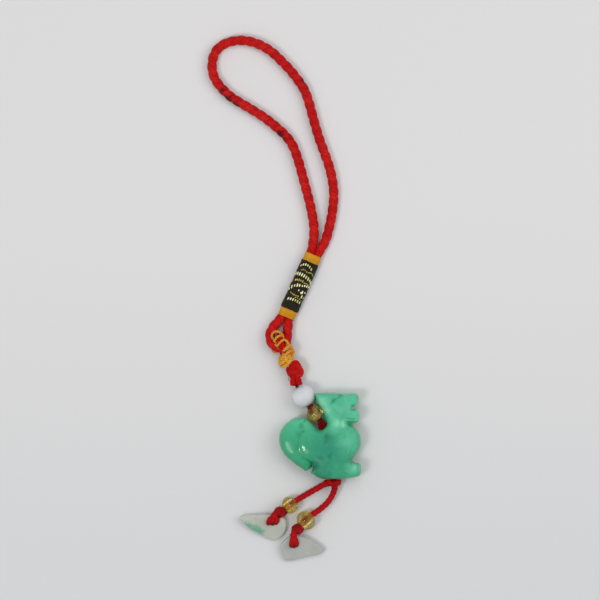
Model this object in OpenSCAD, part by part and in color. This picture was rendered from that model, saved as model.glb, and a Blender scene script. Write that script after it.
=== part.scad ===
/* [Jade figure] */
// Width of the carved animal, from its tail to its chest
jade_w = 26.8; // [20:0.2:40]
// Height of the carved animal, from its feet to its head
jade_h = 28.4; // [21:0.2:42]
// Thickness of the carved animal
jade_t = 8; // [7:0.2:12]
// Bore that carries the cord from the saddle down to the feet
jade_bore_d = 3.6; // [3.4:0.1:4.4]

/* [Beads] */
// Diameter of the white bead
white_bead_d = 7.5; // [6:0.1:10]
// Length of the white bead along its hole
white_bead_l = 7.5; // [6:0.1:9]
// Diameter of each amber glass bead
amber_bead_d = 5.9; // [5:0.1:7]
// Length of each amber glass bead along its hole
amber_bead_l = 4.6; // [4:0.1:6]
// Hole through every bead
bead_bore_d = 2.5; // [2.5:0.1:3]

/* [Braided cord] */
// Diameter of the braided cord
braid_d = 3; // [2.4:0.1:3.2]
// Width that one run of the braided cord is squeezed to in the sleeve
squeezed_w = 2.2; // [1.8:0.1:2.4]
// Height that one run of the braided cord is squeezed to in the sleeve
squeezed_h = 2.6; // [2.2:0.1:3]

/* [Sleeve] */
// Length of the black brocade sleeve
sleeve_l = 16.9; // [12:0.1:24]
// Wall of the black brocade sleeve
sleeve_wall = 0.72; // [0.5:0.02:1]
// Length of the yellow thread binding at each end of the sleeve
binding_l = 2.8; // [2:0.1:4]
// Wall of the yellow thread binding
binding_wall = 0.34; // [0.25:0.01:0.6]

/* [Thin cord and its knots] */
// Diameter of the thin red cord below the jade
tail_d = 2; // [1.6:0.1:2.2]
// Width of the flattened pair of strands that holds a chip
strand_w = 2.4; // [1.6:0.1:2.6]
// Thickness of the flattened pair of strands that holds a chip
strand_t = 0.8; // [0.6:0.1:1]
// Width of the thin cord where it holds the braided loop
link_w = 2; // [1.6:0.1:2.2]
// Thickness of the thin cord where it holds the braided loop
link_t = 1.4; // [1.2:0.1:1.6]
// Length of the red knot above the white bead
red_knot_l = 7.8; // [6:0.1:10]
// Largest diameter of the red knot
red_knot_d = 4.6; // [4:0.1:6]
// Length of the gold thread knot
gold_knot_l = 3.4; // [3:0.1:5]
// Diameter of the gold thread knot
gold_knot_d = 5; // [4:0.1:5.4]
// Thickness of the gold lashing thread
gold_thread_d = 0.55; // [0.4:0.05:0.7]
// Length of the stopper knot under the jade
stopper_l = 4.6; // [3.8:0.1:6]
// Diameter of the stopper knot under the jade
stopper_d = 2.3; // [2:0.1:2.8]
// Diameter of the knot above each chip
tail_knot_d = 3.7; // [3.4:0.1:4.4]

/* [Chips] */
// Length of each polished stone chip
chip_l = 15; // [12:0.1:20]
// Width of each polished stone chip
chip_w = 8.8; // [7:0.1:11]
// Thickness of each polished stone chip
chip_t = 1.6; // [1.2:0.1:2.4]
// Hole through each chip
chip_hole_d = 3; // [2.8:0.1:3.6]

/* [Hidden] */
$fn = 48;

// Gap kept between neighbouring pieces, and the sides of a cord's tube
gap = 0.1;
cord_sides = 8;

// Rope red, jade green and the other colours of the pieces
braid_red = [0.78, 0.11, 0.10];
thin_red = [0.67, 0.08, 0.10];
thread_gold = [0.82, 0.58, 0.14];
sleeve_black = [0.14, 0.14, 0.11];
jade_green = [0.27, 0.66, 0.52];
amber_glass = [0.80, 0.66, 0.22];
bead_white = [0.93, 0.93, 0.94];
chip_grey = [0.68, 0.70, 0.67];

// A direction in the plane, and a point stepped along it at a height
function heading(a) = [cos(a), sin(a), 0];
function step(p, a, l) = p + l * heading(a);
function at_height(p, z) = [p.x, p.y, z];
function unit(v) = v / norm(v);

// Tube swept along rows of [x, y, z, width, height], with its width kept level at the start
function centre(row) = [row[0], row[1], row[2]];
function tangent(r, i) = unit(centre(r[min(i + 1, len(r) - 1)]) - centre(r[max(i - 1, 0)]));
function turned(s, t) = unit(s - (s * t) * t);
function sides_of(r) = [for (
    i = 0, s = unit(cross(tangent(r, 0), [0, 0, 1]));
    i < len(r);
    i = i + 1, s = i < len(r) ? turned(s, tangent(r, i)) : s) s];
function ring(row, side, up, n) = [for (j = [0:n - 1])
    centre(row) + side * cos(360 * j / n) * row[3] / 2 + up * sin(360 * j / n) * row[4] / 2];

module tube(r, n = cord_sides) {
    s = sides_of(r);
    points = [for (i = [0:len(r) - 1]) each ring(r[i], s[i], cross(s[i], tangent(r, i)), n)];
    walls = [for (i = [0:len(r) - 2]) for (j = [0:n - 1]) let (a = i * n + j, b = i * n + (j + 1) % n)
        each [[a, b, b + n], [a, b + n, a + n]]];
    first = [for (j = [n - 1:-1:0]) j];
    last = [for (j = [0:n - 1]) (len(r) - 1) * n + j];
    polyhedron(points, concat([first], walls, [last]));
}

// Puts a child that stands on the origin along the line from p to q, its local Y level
module along(p, q) {
    d = q - p;
    translate(p) rotate([0, acos(d.z / norm(d)), atan2(d.y, d.x)]) children();
}

// Solid of revolution with rounded rims, standing on the origin
module barrel(d, l, r) {
    rotate_extrude() intersection() {
        square([d / 2, l]);
        union() {
            square([d / 2 - r, l]);
            translate([0, r]) square([d / 2, l - 2 * r]);
            translate([d / 2 - r, r]) circle(r);
            translate([d / 2 - r, l - r]) circle(r);
        }
    }
}

module drilled_bead(d, l, bore) {
    difference() {
        rotate_extrude() intersection() {
            translate([(d - l) / 2, l / 2]) circle(d = l);
            square([d / 2, l]);
        }
        translate([0, 0, -gap]) cylinder(d = bore, h = l + 2 * gap);
    }
}

// The jade: its widest outline lies on this level, and the bore runs along it
mid_z = jade_t * 0.44;
bore_top = [jade_w * 0.045, jade_h * 0.085, mid_z];
bore_foot = [jade_w * 0.16, jade_h * -0.5, mid_z];
bore_dir = unit(bore_foot - bore_top);

// Rising chain of pieces from the jade's upper mouth: heading and length of each
neck_cord_l = 3.7;
bead_space = 0.7;
neck_lift = 0.4;
neck_z = amber_bead_d / 2 + neck_lift;
neck_low = at_height(step(bore_top, 113, neck_cord_l), neck_z);
neck_high = step(neck_low, 129, amber_bead_l);
white_low = at_height(step(neck_high, 108, bead_space), white_bead_d / 2);
white_high = step(white_low, 124, white_bead_l);
red_low = at_height(step(white_high, 124, 5 * gap), white_bead_d / 2 - 0.3);
red_high = at_height(step(red_low, 98, red_knot_l), gold_knot_d / 2 + 0.1);
gold_low = step(red_high, 170, 1.3);
gold_high = step(gold_low, 128, gold_knot_l);

// The braided loop hangs on the thin cord, which passes over and under its lowest arc
link_over_z = gold_knot_d / 2 + 2.55;
link_under_z = link_t / 2 + 0.2;
arc_h = link_over_z - link_under_z - link_t - 4 * gap;
arc_z = (link_over_z + link_under_z) / 2;
sleeve_z = squeezed_h / 2 + 0.15 + sleeve_wall;
sleeve_low = at_height(gold_high + [0.9, 12.3, 0], sleeve_z);
sleeve_turn = 65.9;
channel_l = sleeve_l + 2 * binding_l + 2 * gap;
sleeve_high = step(sleeve_low, sleeve_turn, channel_l);
run_offset = (squeezed_w + gap) / 2;
channel_w = 2 * squeezed_w + 3 * gap;
channel_h = squeezed_h + 3 * gap;

// Points of the two runs of braid inside the sleeve, on its left or right side
function in_sleeve(share, side) = concat(
    step(step(sleeve_low, sleeve_turn, channel_l * share), sleeve_turn + 90 * side, run_offset),
    [squeezed_w, squeezed_h]);

// Hand loop, measured from the sleeve's upper end: left side up, round the top, right side down
hand_loop = [[-0.2, 4], [0.1, 9], [-0.8, 15], [-2, 20], [-3.5, 25.5], [-5, 31], [-6.8, 36],
    [-9, 39.3], [-12, 42.2], [-16, 45.4], [-20, 48], [-24, 50.4], [-27.5, 52.6], [-30.5, 55.4],
    [-32.8, 58.5], [-33.8, 62], [-33.5, 65.5], [-32, 68.5], [-29, 70.5], [-25, 71.4], [-21, 71],
    [-17, 69.5], [-13.5, 67.2], [-10, 63.8], [-7.2, 60.8], [-4.6, 57.3], [-2.9, 54.5], [-1.5, 50.5],
    [0, 45], [1.6, 39.5], [3.4, 34.5], [5, 30], [6.2, 25], [6.7, 20], [6.3, 15], [5.4, 10],
    [3.8, 4.5]];

// Lower loop, measured from the sleeve's lower end: right side down, round and up the left side
lower_loop = [[0.8, -2.1], [0.5, -5.1], [0.4, -7.6], [-0.4, -9.4], [-1.9, -10.2], [-3.7, -9.8],
    [-4.9, -8.3], [-5.3, -6.1], [-4.5, -3.8], [-2.8, -1.7]];
// Share of the way from the sleeve's level to the arc's level at each of those points
arc_share = [0, 0.1, 0.5, 1, 1, 1, 0.5, 0.1, 0, 0];

braid_route = concat(
    [in_sleeve(0.5 + gap / channel_l, 1), in_sleeve(1, 1)],
    [for (p = hand_loop) [sleeve_high.x + p.x, sleeve_high.y + p.y, braid_d / 2, braid_d, braid_d]],
    [in_sleeve(1, -1), in_sleeve(0.5, -1), in_sleeve(0, -1)],
    [for (i = [0:len(lower_loop) - 1]) [
        sleeve_low.x + lower_loop[i].x,
        sleeve_low.y + lower_loop[i].y,
        sleeve_z + (arc_z - sleeve_z) * arc_share[i],
        braid_d,
        braid_d + (arc_h - braid_d) * arc_share[i]]],
    [in_sleeve(0, 1), in_sleeve(0.5 - gap / channel_l, 1)]);

// Thin cord round the arc: distance from the gold knot, height of its centre, share of its width
link_turn = 102;
link_reach = [[0.7, link_over_z - 0.8, 1], [1.2, link_over_z - 0.1, 1], [2.4, link_over_z, 1],
    [5.4, link_over_z, 1], [6.4, link_over_z - 0.45, 0.9], [6.8, link_over_z - 1.4, 0.8],
    [6.8, link_under_z + 1.4, 0.8], [6.3, link_under_z + 0.4, 0.8], [5, link_under_z, 0.9],
    [2.4, link_under_z, 1], [0.9, link_under_z + 0.3, 1]];
link_route = [for (p = link_reach)
    concat(at_height(step(gold_high, link_turn, p[0]), p[1]), [link_w * p[2], link_t])];

// Lashing thread wound round the upper run of the thin cord
lash_turns = 3;
lash_steps = 12;
lash_start = 3.6;
lash_pitch = 0.65;
lash_w = link_w + gold_thread_d + 9 * gap;
lash_h = link_t + gold_thread_d + 5 * gap;
lash_route = [for (i = [0:lash_turns * lash_steps]) let (a = 360 * i / lash_steps)
    concat(
        step(step(at_height(gold_high, link_over_z), link_turn, lash_start + lash_pitch * a / 360),
            link_turn - 90, cos(a) * lash_w / 2) + [0, 0, sin(a) * lash_h / 2],
        [gold_thread_d, gold_thread_d])];

// Cord through the white bead, the neck bead and the jade
bead_cord_d = bead_bore_d - 2 * gap;
bore_cord_d = jade_bore_d - 2 * gap;
bead_cord_route = [
    concat(step(white_high, 124, -5 * gap), [bead_cord_d, bead_cord_d]),
    concat(step(white_low, 124, -gap), [bead_cord_d, bead_cord_d]),
    concat(step(neck_high, 129, gap), [bead_cord_d, bead_cord_d]),
    concat(step(neck_low, 129, -gap), [bead_cord_d, bead_cord_d]),
    concat(bore_top + 0.4 * bore_dir, [bore_cord_d, bore_cord_d]),
    concat(bore_foot - 0.4 * bore_dir, [bore_cord_d, bore_cord_d])];

// Stopper knot, lying across the lower mouth
stopper_at = bore_foot + [0, -stopper_d / 2 - 2 * gap, 0];
stopper_left = step(stopper_at, 180, stopper_l / 2);
stopper_right = step(stopper_at, 0, stopper_l / 2);

// Each tail: its points from the stopper knot to its bead, the headings of the bead, of the
// knot and of the strands, the knot's length and the strands' length to the chip's hole
tail_z = amber_bead_d / 2;
tails = [
    [[[-2.7, -1.9], [-4.4, -2.7], [-7.4, -4.4], [-10, -5.9], [-12.4, -7.4]], 217, 209, 251, 3.4, 3.7],
    [[[0.6, -2.8], [0.4, -4], [-0.8, -6.5], [-2.4, -8.5], [-4.6, -10.4], [-7.3, -12.3]],
        223, 230, 272, 3.4, 4.9]];
function tail_points(t) = tails[t][0];
function bead_turn(t) = tails[t][1];
function knot_turn(t) = tails[t][2];
function strand_turn(t) = tails[t][3];
function knot_l(t) = tails[t][4];
function strand_l(t) = tails[t][5];
function bead_start(t) = at_height(bore_foot + concat(tail_points(t)[len(tail_points(t)) - 1], 0), tail_z);
function bead_end(t) = step(bead_start(t), bead_turn(t), amber_bead_l);
function knot_start(t) = step(bead_end(t), bead_turn(t), 3 * gap);
function knot_end(t) = at_height(step(knot_start(t), knot_turn(t), knot_l(t)), tail_z + 1.2);
function hole_at(t) = at_height(step(knot_end(t), strand_turn(t), strand_l(t)), 0);

// Each chip: outline from its hole, as shares of its length and width, and its farthest edge
chips = [
    [[-0.72, 0.24], [-0.69, 0.32], [-0.6, 0.35], [-0.16, 0.38], [0.18, 0.31], [0.31, 0.11],
        [0.31, -0.22], [0.21, -0.49], [0.08, -0.6], [-0.07, -0.53], [-0.26, -0.36],
        [-0.42, -0.22], [-0.54, -0.08], [-0.66, 0.14]],
    [[0.18, 0.41], [0.02, 0.45], [-0.12, 0.4], [-0.24, 0.22], [-0.3, 0.04], [-0.3, -0.11],
        [-0.26, -0.31], [-0.22, -0.49], [-0.12, -0.53], [0.04, -0.49], [0.36, -0.35],
        [0.55, -0.29], [0.65, -0.19], [0.67, -0.1], [0.6, 0.02], [0.39, 0.25]]];
function chip_far(t) = -min([for (p = chips[t]) p.y]) * chip_w;
chip_lift = strand_t + 2 * gap;
function chip_tilt(t) = asin(chip_lift / chip_far(t));

// Height of a chip's underside at a distance from its hole towards the knot
function chip_under(t, s) = chip_lift - s * sin(strand_turn(t)) * sin(chip_tilt(t));
function strand_row(t, s, z) = concat(at_height(step(hole_at(t), strand_turn(t), -s), z),
    [strand_w, strand_t]);
half_t = strand_t / 2;

// Tail cord: from the stopper knot through bead and knot, over the chip, through its hole and back
function tail_rows(t) = concat(
    [for (p = tail_points(t)) concat(at_height(bore_foot + concat(p, 0), tail_z), [tail_d, tail_d])],
    [concat(bead_end(t), [tail_d, tail_d]), concat(knot_start(t), [tail_d, tail_d]),
        concat(knot_end(t), [strand_w, 1.5 * strand_t])],
    [strand_row(t, strand_l(t) - 0.6, chip_under(t, strand_l(t) - 0.6) + chip_t + half_t + 5 * gap),
        strand_row(t, 1.6, chip_under(t, 1.6) + chip_t + half_t + 2 * gap),
        strand_row(t, 0.5, chip_under(t, 0.5) + chip_t + half_t + 1.5 * gap),
        strand_row(t, -0.1, chip_under(t, 0) + chip_t),
        strand_row(t, -0.2, chip_under(t, 0) + chip_t / 2),
        strand_row(t, 0, chip_under(t, 0)),
        strand_row(t, 0.7, chip_under(t, 0.7) - half_t - gap),
        strand_row(t, 1.8, chip_under(t, 1.8) - half_t - gap),
        strand_row(t, strand_l(t) - 0.6, chip_under(t, 2.6) - half_t - gap)]);

// Rounded lobes of the jade: middle, half thickness as a share of the thickness, and outline,
// all places in hundredths of the width and of the height
lobes = [
    [[-26, -9], 0.46, [[-17, 19], [-25, 21.5], [-34, 19], [-44, 12], [-50, -3], [-46, -17],
        [-34, -29.5], [-20, -39], [-12, -36], [-5, -18], [-6, 5]]],
    [[11, -18], 0.56, [[-18, 19], [-22, 14], [-24, 4], [-29, -12], [-27, -20], [-20, -27],
        [-8, -33], [4, -40], [22, -40], [36, -28], [41, -14], [36, 6], [16, 12], [1.5, 7],
        [-7, 10], [-14, 17]]],
    [[19, 37], 0.5, [[-5, 46], [1, 34], [8, 19], [15, 15], [34, 24], [39, 34], [44, 36],
        [47, 40.5], [47, 46], [43, 50], [31, 48.5], [24, 50], [5, 50], [-5, 49]]],
    [[29, 18], 0.43, [[26, 32], [12, 24], [9, 12], [20, 4], [36, 6], [40, 15], [45, 16.5],
        [48, 19], [48, 26], [45, 31], [36, 31.5]]],
    [[32, -10], 0.48, [[26, 8], [18, -12], [28, -32], [39.5, -29], [43, -21.5], [47, -16],
        [50, -8], [48.5, 1], [44, 8], [39, 13]]],
    [[20, -36], 0.4, [[20, -22], [0, -27], [-7, -36], [-10, -43], [-3, -47.5], [5, -49.5],
        [16, -50], [30, -49.5], [40, -48], [48, -46.5], [50, -41], [49.5, -34], [45, -31.5],
        [38, -30]]]];

// Closed curve through an outline's points, with steps points on each stretch
function curve_point(p, i, u) = let (n = len(p), a = p[(i + n - 1) % n], b = p[i], c = p[(i + 1) % n],
    d = p[(i + 2) % n]) b + u * (c - a) / 2 + u * u * (a - 2.5 * b + 2 * c - d / 2)
    + u * u * u * (1.5 * (b - c) + (d - a) / 2);
function closed_curve(p, steps) = [for (i = [0:len(p) - 1]) for (k = [0:steps - 1])
    curve_point(p, i, k / steps)];

// Domed pillow over an outline: its rim is upright and its two faces are nearly flat
rim_power = 0.55;
rim_angles = [-90, -65, -40, -14, 14, 40, 65, 90];
function sign_power(v) = sign(v) * pow(abs(v), rim_power);
module pillow(middle, half, outline) {
    rim = closed_curve(outline, 2);
    n = len(rim);
    m = len(rim_angles) - 2;
    rows = [for (i = [1:m]) for (p = rim)
        concat(middle + (p - middle) * pow(cos(rim_angles[i]), rim_power),
            half * sign_power(sin(rim_angles[i])))];
    low = n * m;
    points = concat(rows, [concat(middle, -half), concat(middle, half)]);
    walls = [for (i = [0:m - 2]) for (j = [0:n - 1]) let (a = i * n + j, b = i * n + (j + 1) % n)
        each [[a, a + n, b + n], [a, b + n, b]]];
    caps = [for (j = [0:n - 1]) each [[j, (j + 1) % n, low],
        [(m - 1) * n + (j + 1) % n, (m - 1) * n + j, low + 1]]];
    polyhedron(points, concat(walls, caps));
}

module jade_figure() {
    color(jade_green) difference() {
        resize([jade_w, jade_h, jade_t]) intersection() {
            translate([0, 0, 44]) union() {
                for (l = lobes) pillow(l[0], l[1] * 100, l[2]);
            }
            translate([-60, -60, 0]) cube([120, 120, 120]);
        }
        along(bore_top - 9 * bore_dir, bore_foot)
            cylinder(d = jade_bore_d, h = norm(bore_foot - bore_top) + 14);
    }
}

module braided_cord() {
    color(braid_red) tube(braid_route);
}

module stadium(w, h) {
    square([h, w - h], center = true);
    translate([0, (w - h) / 2]) circle(d = h);
    translate([0, -(w - h) / 2]) circle(d = h);
}

module oval_tube(wall, l) {
    linear_extrude(l) difference() {
        stadium(channel_w + 2 * wall, channel_h + 2 * wall);
        stadium(channel_w, channel_h);
    }
}

module lower_binding() {
    color(thread_gold) along(sleeve_low, sleeve_high) oval_tube(binding_wall, binding_l);
}

module brocade_sleeve() {
    color(sleeve_black) along(step(sleeve_low, sleeve_turn, binding_l + gap), sleeve_high)
        oval_tube(sleeve_wall, sleeve_l);
}

module upper_binding() {
    color(thread_gold) along(step(sleeve_high, sleeve_turn, -binding_l), step(sleeve_high, sleeve_turn, 1))
        oval_tube(binding_wall, binding_l);
}

module link_cord() {
    color(thin_red) tube(link_route);
}

module gold_lashing() {
    color(thread_gold) tube(lash_route, 6);
}

module gold_knot() {
    color(thread_gold) along(gold_low, gold_high) {
        barrel(gold_knot_d, gold_knot_l, 1.2);
        translate([0, gold_knot_d * 0.36, gold_knot_l * 0.45]) rotate([0, 90, 0])
            rotate_extrude() translate([gold_knot_d * 0.22, 0]) circle(d = gold_thread_d * 1.6);
    }
}

module red_knot() {
    color(thin_red) along(red_low, red_high) {
        cylinder(d1 = red_knot_d * 0.66, d2 = red_knot_d * 0.8, h = red_knot_l * 0.6);
        translate([0, 0, red_knot_l * 0.35]) barrel(red_knot_d, red_knot_l * 0.65, 1.6);
        translate([0, 0, red_knot_l * 0.6]) rotate([90, 0, 0])
            cylinder(d = red_knot_d * 0.4, h = red_knot_d * 0.7);
    }
}

module white_bead() {
    color(bead_white) along(white_low, white_high) drilled_bead(white_bead_d, white_bead_l, bead_bore_d);
}

module amber_bead(p, q) {
    color(amber_glass) along(p, q) drilled_bead(amber_bead_d, amber_bead_l, bead_bore_d);
}

module neck_bead() {
    amber_bead(neck_low, neck_high);
}

module bead_cord() {
    color(thin_red) tube(bead_cord_route);
}

module stopper_knot() {
    color(thin_red) along(stopper_left, stopper_right) barrel(stopper_d, stopper_l, 0.9);
}

module tail_knot(t) {
    color(thin_red) along(knot_start(t), knot_end(t)) difference() {
        barrel(tail_knot_d, knot_l(t), 1.2);
        translate([0, 0, -gap]) cylinder(d = strand_w + 2 * gap, h = knot_l(t) + 4 * gap);
    }
}

module chip(t) {
    color(chip_grey) translate(hole_at(t)) translate([0, 0, chip_lift]) rotate([chip_tilt(t), 0, 0])
        linear_extrude(chip_t) difference() {
            polygon([for (p = chips[t]) [p.x * chip_l, p.y * chip_w]]);
            circle(d = chip_hole_d);
        }
}

module tail_cord(t) {
    color(thin_red) tube(tail_rows(t));
}

module left_tail_cord() { tail_cord(0); }
module left_bead() { amber_bead(bead_start(0), bead_end(0)); }
module left_knot() { tail_knot(0); }
module left_chip() { chip(0); }
module right_tail_cord() { tail_cord(1); }
module right_bead() { amber_bead(bead_start(1), bead_end(1)); }
module right_knot() { tail_knot(1); }
module right_chip() { chip(1); }

braided_cord();
brocade_sleeve();
upper_binding();
lower_binding();
link_cord();
gold_lashing();
gold_knot();
red_knot();
white_bead();
neck_bead();
bead_cord();
jade_figure();
stopper_knot();
left_tail_cord();
left_bead();
left_knot();
left_chip();
right_tail_cord();
right_bead();
right_knot();
right_chip();
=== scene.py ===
import math
import bmesh
import bpy
import numpy as np
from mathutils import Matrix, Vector


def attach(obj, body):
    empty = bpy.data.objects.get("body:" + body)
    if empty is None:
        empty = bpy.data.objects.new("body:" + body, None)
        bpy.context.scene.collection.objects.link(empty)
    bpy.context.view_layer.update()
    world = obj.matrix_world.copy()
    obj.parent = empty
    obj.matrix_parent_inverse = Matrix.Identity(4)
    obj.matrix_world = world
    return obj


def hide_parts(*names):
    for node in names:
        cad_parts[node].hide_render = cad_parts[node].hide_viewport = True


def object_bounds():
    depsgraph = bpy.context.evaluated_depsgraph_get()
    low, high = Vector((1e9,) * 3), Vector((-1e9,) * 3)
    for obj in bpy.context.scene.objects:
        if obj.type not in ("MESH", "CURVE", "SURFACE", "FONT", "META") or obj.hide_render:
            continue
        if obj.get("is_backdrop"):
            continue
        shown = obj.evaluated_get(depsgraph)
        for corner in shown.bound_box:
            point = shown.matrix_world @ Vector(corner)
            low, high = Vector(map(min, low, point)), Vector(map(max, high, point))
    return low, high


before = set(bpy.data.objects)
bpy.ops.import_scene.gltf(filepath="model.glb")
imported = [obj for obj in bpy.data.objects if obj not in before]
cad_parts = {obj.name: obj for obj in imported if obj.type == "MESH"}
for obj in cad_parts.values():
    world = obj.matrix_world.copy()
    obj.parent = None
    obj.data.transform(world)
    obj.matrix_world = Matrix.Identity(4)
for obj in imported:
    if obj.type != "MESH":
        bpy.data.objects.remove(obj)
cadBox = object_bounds()
mm = 0.001
scene = bpy.context.scene
print("frame loaded:", len(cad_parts), "CAD nodes")

# Camera: straight above, as the photo was taken. Places are in millimetres in the
# frame, and the floor's and the lamps' in metres
cameraSet = {"x": -6.67, "y": 45.28, "height": 2000.0, "lens": 360.0, "sensor": 36.0}


def makeCamera(values):
    camera = bpy.data.objects.new("camera", bpy.data.cameras.new("camera"))
    camera.data.lens = values["lens"]
    camera.data.sensor_width = values["sensor"]
    camera.location = Vector((values["x"], values["y"], values["height"])) * mm
    scene.collection.objects.link(camera)
    scene.camera = camera


makeCamera(cameraSet)


# Node wiring, used for the shader trees and the geometry trees alike
class Wiring:
    def __init__(self, tree):
        self.tree = tree

    def feed(self, socket, value):
        if isinstance(value, bpy.types.NodeSocket):
            self.tree.links.new(value, socket)
        else:
            socket.default_value = value

    def node(self, kind, inputs=None, **settings):
        made = self.tree.nodes.new(kind)
        for key, value in settings.items():
            setattr(made, key, value)
        for key, value in (inputs or {}).items():
            self.feed(made.inputs[key], value)
        return made

    def out(self, kind, inputs=None, **settings):
        return self.node(kind, inputs, **settings).outputs[0]

    def math(self, operation, *values):
        return self.out("ShaderNodeMath", dict(enumerate(values)), operation=operation)

    def times(self, first, second):
        return self.math("MULTIPLY", first, second)

    def plus(self, first, second):
        return self.math("ADD", first, second)

    def vector(self, operation, first, second):
        return self.out("ShaderNodeVectorMath", {0: first, 1: second}, operation=operation)

    def scaled(self, value, scale):
        return self.out("ShaderNodeVectorMath", {0: value, "Scale": scale}, operation="SCALE")

    def ramp(self, value, low, high, toLow=0.0, toHigh=1.0):
        return self.out("ShaderNodeMapRange", {0: value, 1: low, 2: high, 3: toLow, 4: toHigh},
                        interpolation_type="SMOOTHSTEP")

    def mix(self, share, first, second):
        return self.node("ShaderNodeMix", {0: share, 6: first, 7: second}, data_type="RGBA").outputs[2]

    def place(self):
        return self.node("ShaderNodeTexCoord").outputs["Object"]

    def noise(self, scale, detail, distortion=0.0):
        return self.out("ShaderNodeTexNoise", {"Vector": self.place(), "Scale": scale, "Detail": detail,
                                               "Distortion": distortion})

    def clouds(self, values, first, second):
        # Two colours blended by a noise: its scale, detail and distortion, then the span of the blend
        return self.mix(self.ramp(self.noise(*values[:3]), *values[3:]), first, second)

    def attribute(self, name):
        return self.node("ShaderNodeAttribute", attribute_name=name).outputs["Fac"]

    def read(self, name, kind="FLOAT"):
        return self.out("GeometryNodeInputNamedAttribute", {0: name}, data_type=kind)

    def store(self, geometry, name, value, kind="FLOAT"):
        return self.out("GeometryNodeStoreNamedAttribute", {0: geometry, 2: name, 3: value}, data_type=kind,
                        domain="POINT")

    def endTree(self, geometry, material):
        # Last nodes of a geometry tree: real geometry, smooth, with its material
        solid = self.out("GeometryNodeRealizeInstances", {0: geometry})
        solid = self.out("GeometryNodeSetShadeSmooth", {0: solid, 2: True})
        self.node("NodeGroupOutput", {0: self.out("GeometryNodeSetMaterial", {0: solid, 2: material})})


def newGroup(name, kind, inputs, outputs):
    # A node group with its sockets, its wiring and the outputs of its input node
    tree = bpy.data.node_groups.new(name, kind + "NodeTree")
    for label, valueKind, value in inputs:
        socket = tree.interface.new_socket(label, in_out="INPUT", socket_type="NodeSocket" + valueKind)
        if value is not None:
            socket.default_value = value
    for label, valueKind in outputs:
        tree.interface.new_socket(label, in_out="OUTPUT", socket_type="NodeSocket" + valueKind)
    wire = Wiring(tree)
    return tree, wire, wire.node("NodeGroupInput").outputs


def colour(red, green, blue):
    # sRGB numbers from 0 to 255 as the linear colour that a shader wants
    return tuple(((c / 255 + 0.055) / 1.055) ** 2.4 for c in (red, green, blue)) + (1.0,)


flatEnds = 3.0  # how soon the wide side of a flattened tube becomes flat


# Geometry tree for every cord and thread: strands laid round a route, braided or twisted
def buildCordTree():
    tree, wire, given = newGroup(
        "cordStrands", "Geometry",
        [("Route", "Geometry", None), ("Strands", "Int", 4), ("Crossing", "Float", 1.0),
         ("Pitch", "Float", 0.006), ("Core Radius", "Float", 0.0007), ("Weave", "Float", 0.0002),
         ("Straight Half", "Float", 0.0), ("Strand Width", "Float", 0.001),
         ("Strand Thickness", "Float", 0.001), ("Step", "Float", 0.0003), ("Sides", "Int", 8),
         ("Finish", "Material", None)], [("Cord", "Geometry")])
    curve = wire.out("GeometryNodeMeshToCurve", {0: given["Route"]})
    curve = wire.out("GeometryNodeSetCurveNormal", {0: curve}, mode="MINIMUM_TWIST")
    curve = wire.out("GeometryNodeResampleCurve", {0: curve, 3: given["Step"]}, mode="LENGTH")
    along = wire.node("GeometryNodeSplineParameter").outputs["Length"]
    curve = wire.store(curve, "along", along)
    strands, index = wire.node("GeometryNodeDuplicateElements", {0: curve, 2: given["Strands"]},
                               domain="SPLINE").outputs
    ways = wire.plus(given["Crossing"], 1.0)  # a braid's strands wind both ways, a twist's one way
    perWay = wire.math("DIVIDE", given["Strands"], ways)
    odd = wire.times(wire.math("MODULO", index, 2.0), given["Crossing"])
    way = wire.math("MULTIPLY_ADD", odd, -2.0, 1.0)
    carrier = wire.math("FLOOR", wire.math("DIVIDE", index, ways))
    turns = wire.math("DIVIDE", along, given["Pitch"])
    angle = wire.plus(wire.times(turns, way), wire.math("DIVIDE", carrier, perWay))
    angle = wire.times(angle, math.tau)
    beat = wire.math("COSINE", wire.times(wire.times(turns, perWay), math.tau))
    lift = wire.times(wire.times(beat, way), given["Crossing"])
    thick = wire.read("thick")
    reach = wire.times(wire.plus(given["Core Radius"], wire.times(given["Weave"], lift)), thick)
    normal = wire.out("GeometryNodeInputNormal")
    side = wire.vector("CROSS_PRODUCT", wire.out("GeometryNodeInputTangent"), normal)
    cosine = wire.math("COSINE", angle)
    outward = wire.vector("ADD", wire.scaled(normal, cosine), wire.scaled(side, wire.math("SINE", angle)))
    end = wire.math("MAXIMUM", wire.math("MINIMUM", wire.times(cosine, flatEnds), 1.0), -1.0)
    shift = wire.scaled(normal, wire.times(end, given["Straight Half"]))
    offset = wire.vector("ADD", wire.scaled(outward, reach), shift)
    strands = wire.store(strands, "lift", lift)
    strands = wire.store(strands, "outward", outward, "FLOAT_VECTOR")
    strands = wire.out("GeometryNodeSetPosition", {0: strands, 3: offset})
    faced = wire.read("outward", "FLOAT_VECTOR")
    strands = wire.out("GeometryNodeSetCurveNormal", {0: strands, 2: faced}, mode="FREE")
    circle = wire.out("GeometryNodeCurvePrimitiveCircle", {"Resolution": given["Sides"], "Radius": 0.5})
    circle = wire.store(circle, "around", wire.node("GeometryNodeSplineParameter").outputs["Factor"])
    spread = wire.out("ShaderNodeCombineXYZ", {0: given["Strand Thickness"], 1: given["Strand Width"],
                                               2: 1.0})
    profile = wire.out("GeometryNodeTransform", {0: circle, 3: spread})
    wire.endTree(wire.out("GeometryNodeCurveToMesh", {0: strands, 1: profile, 2: thick, 3: True}),
                 given["Finish"])
    return tree


cordTree = buildCordTree()


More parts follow.
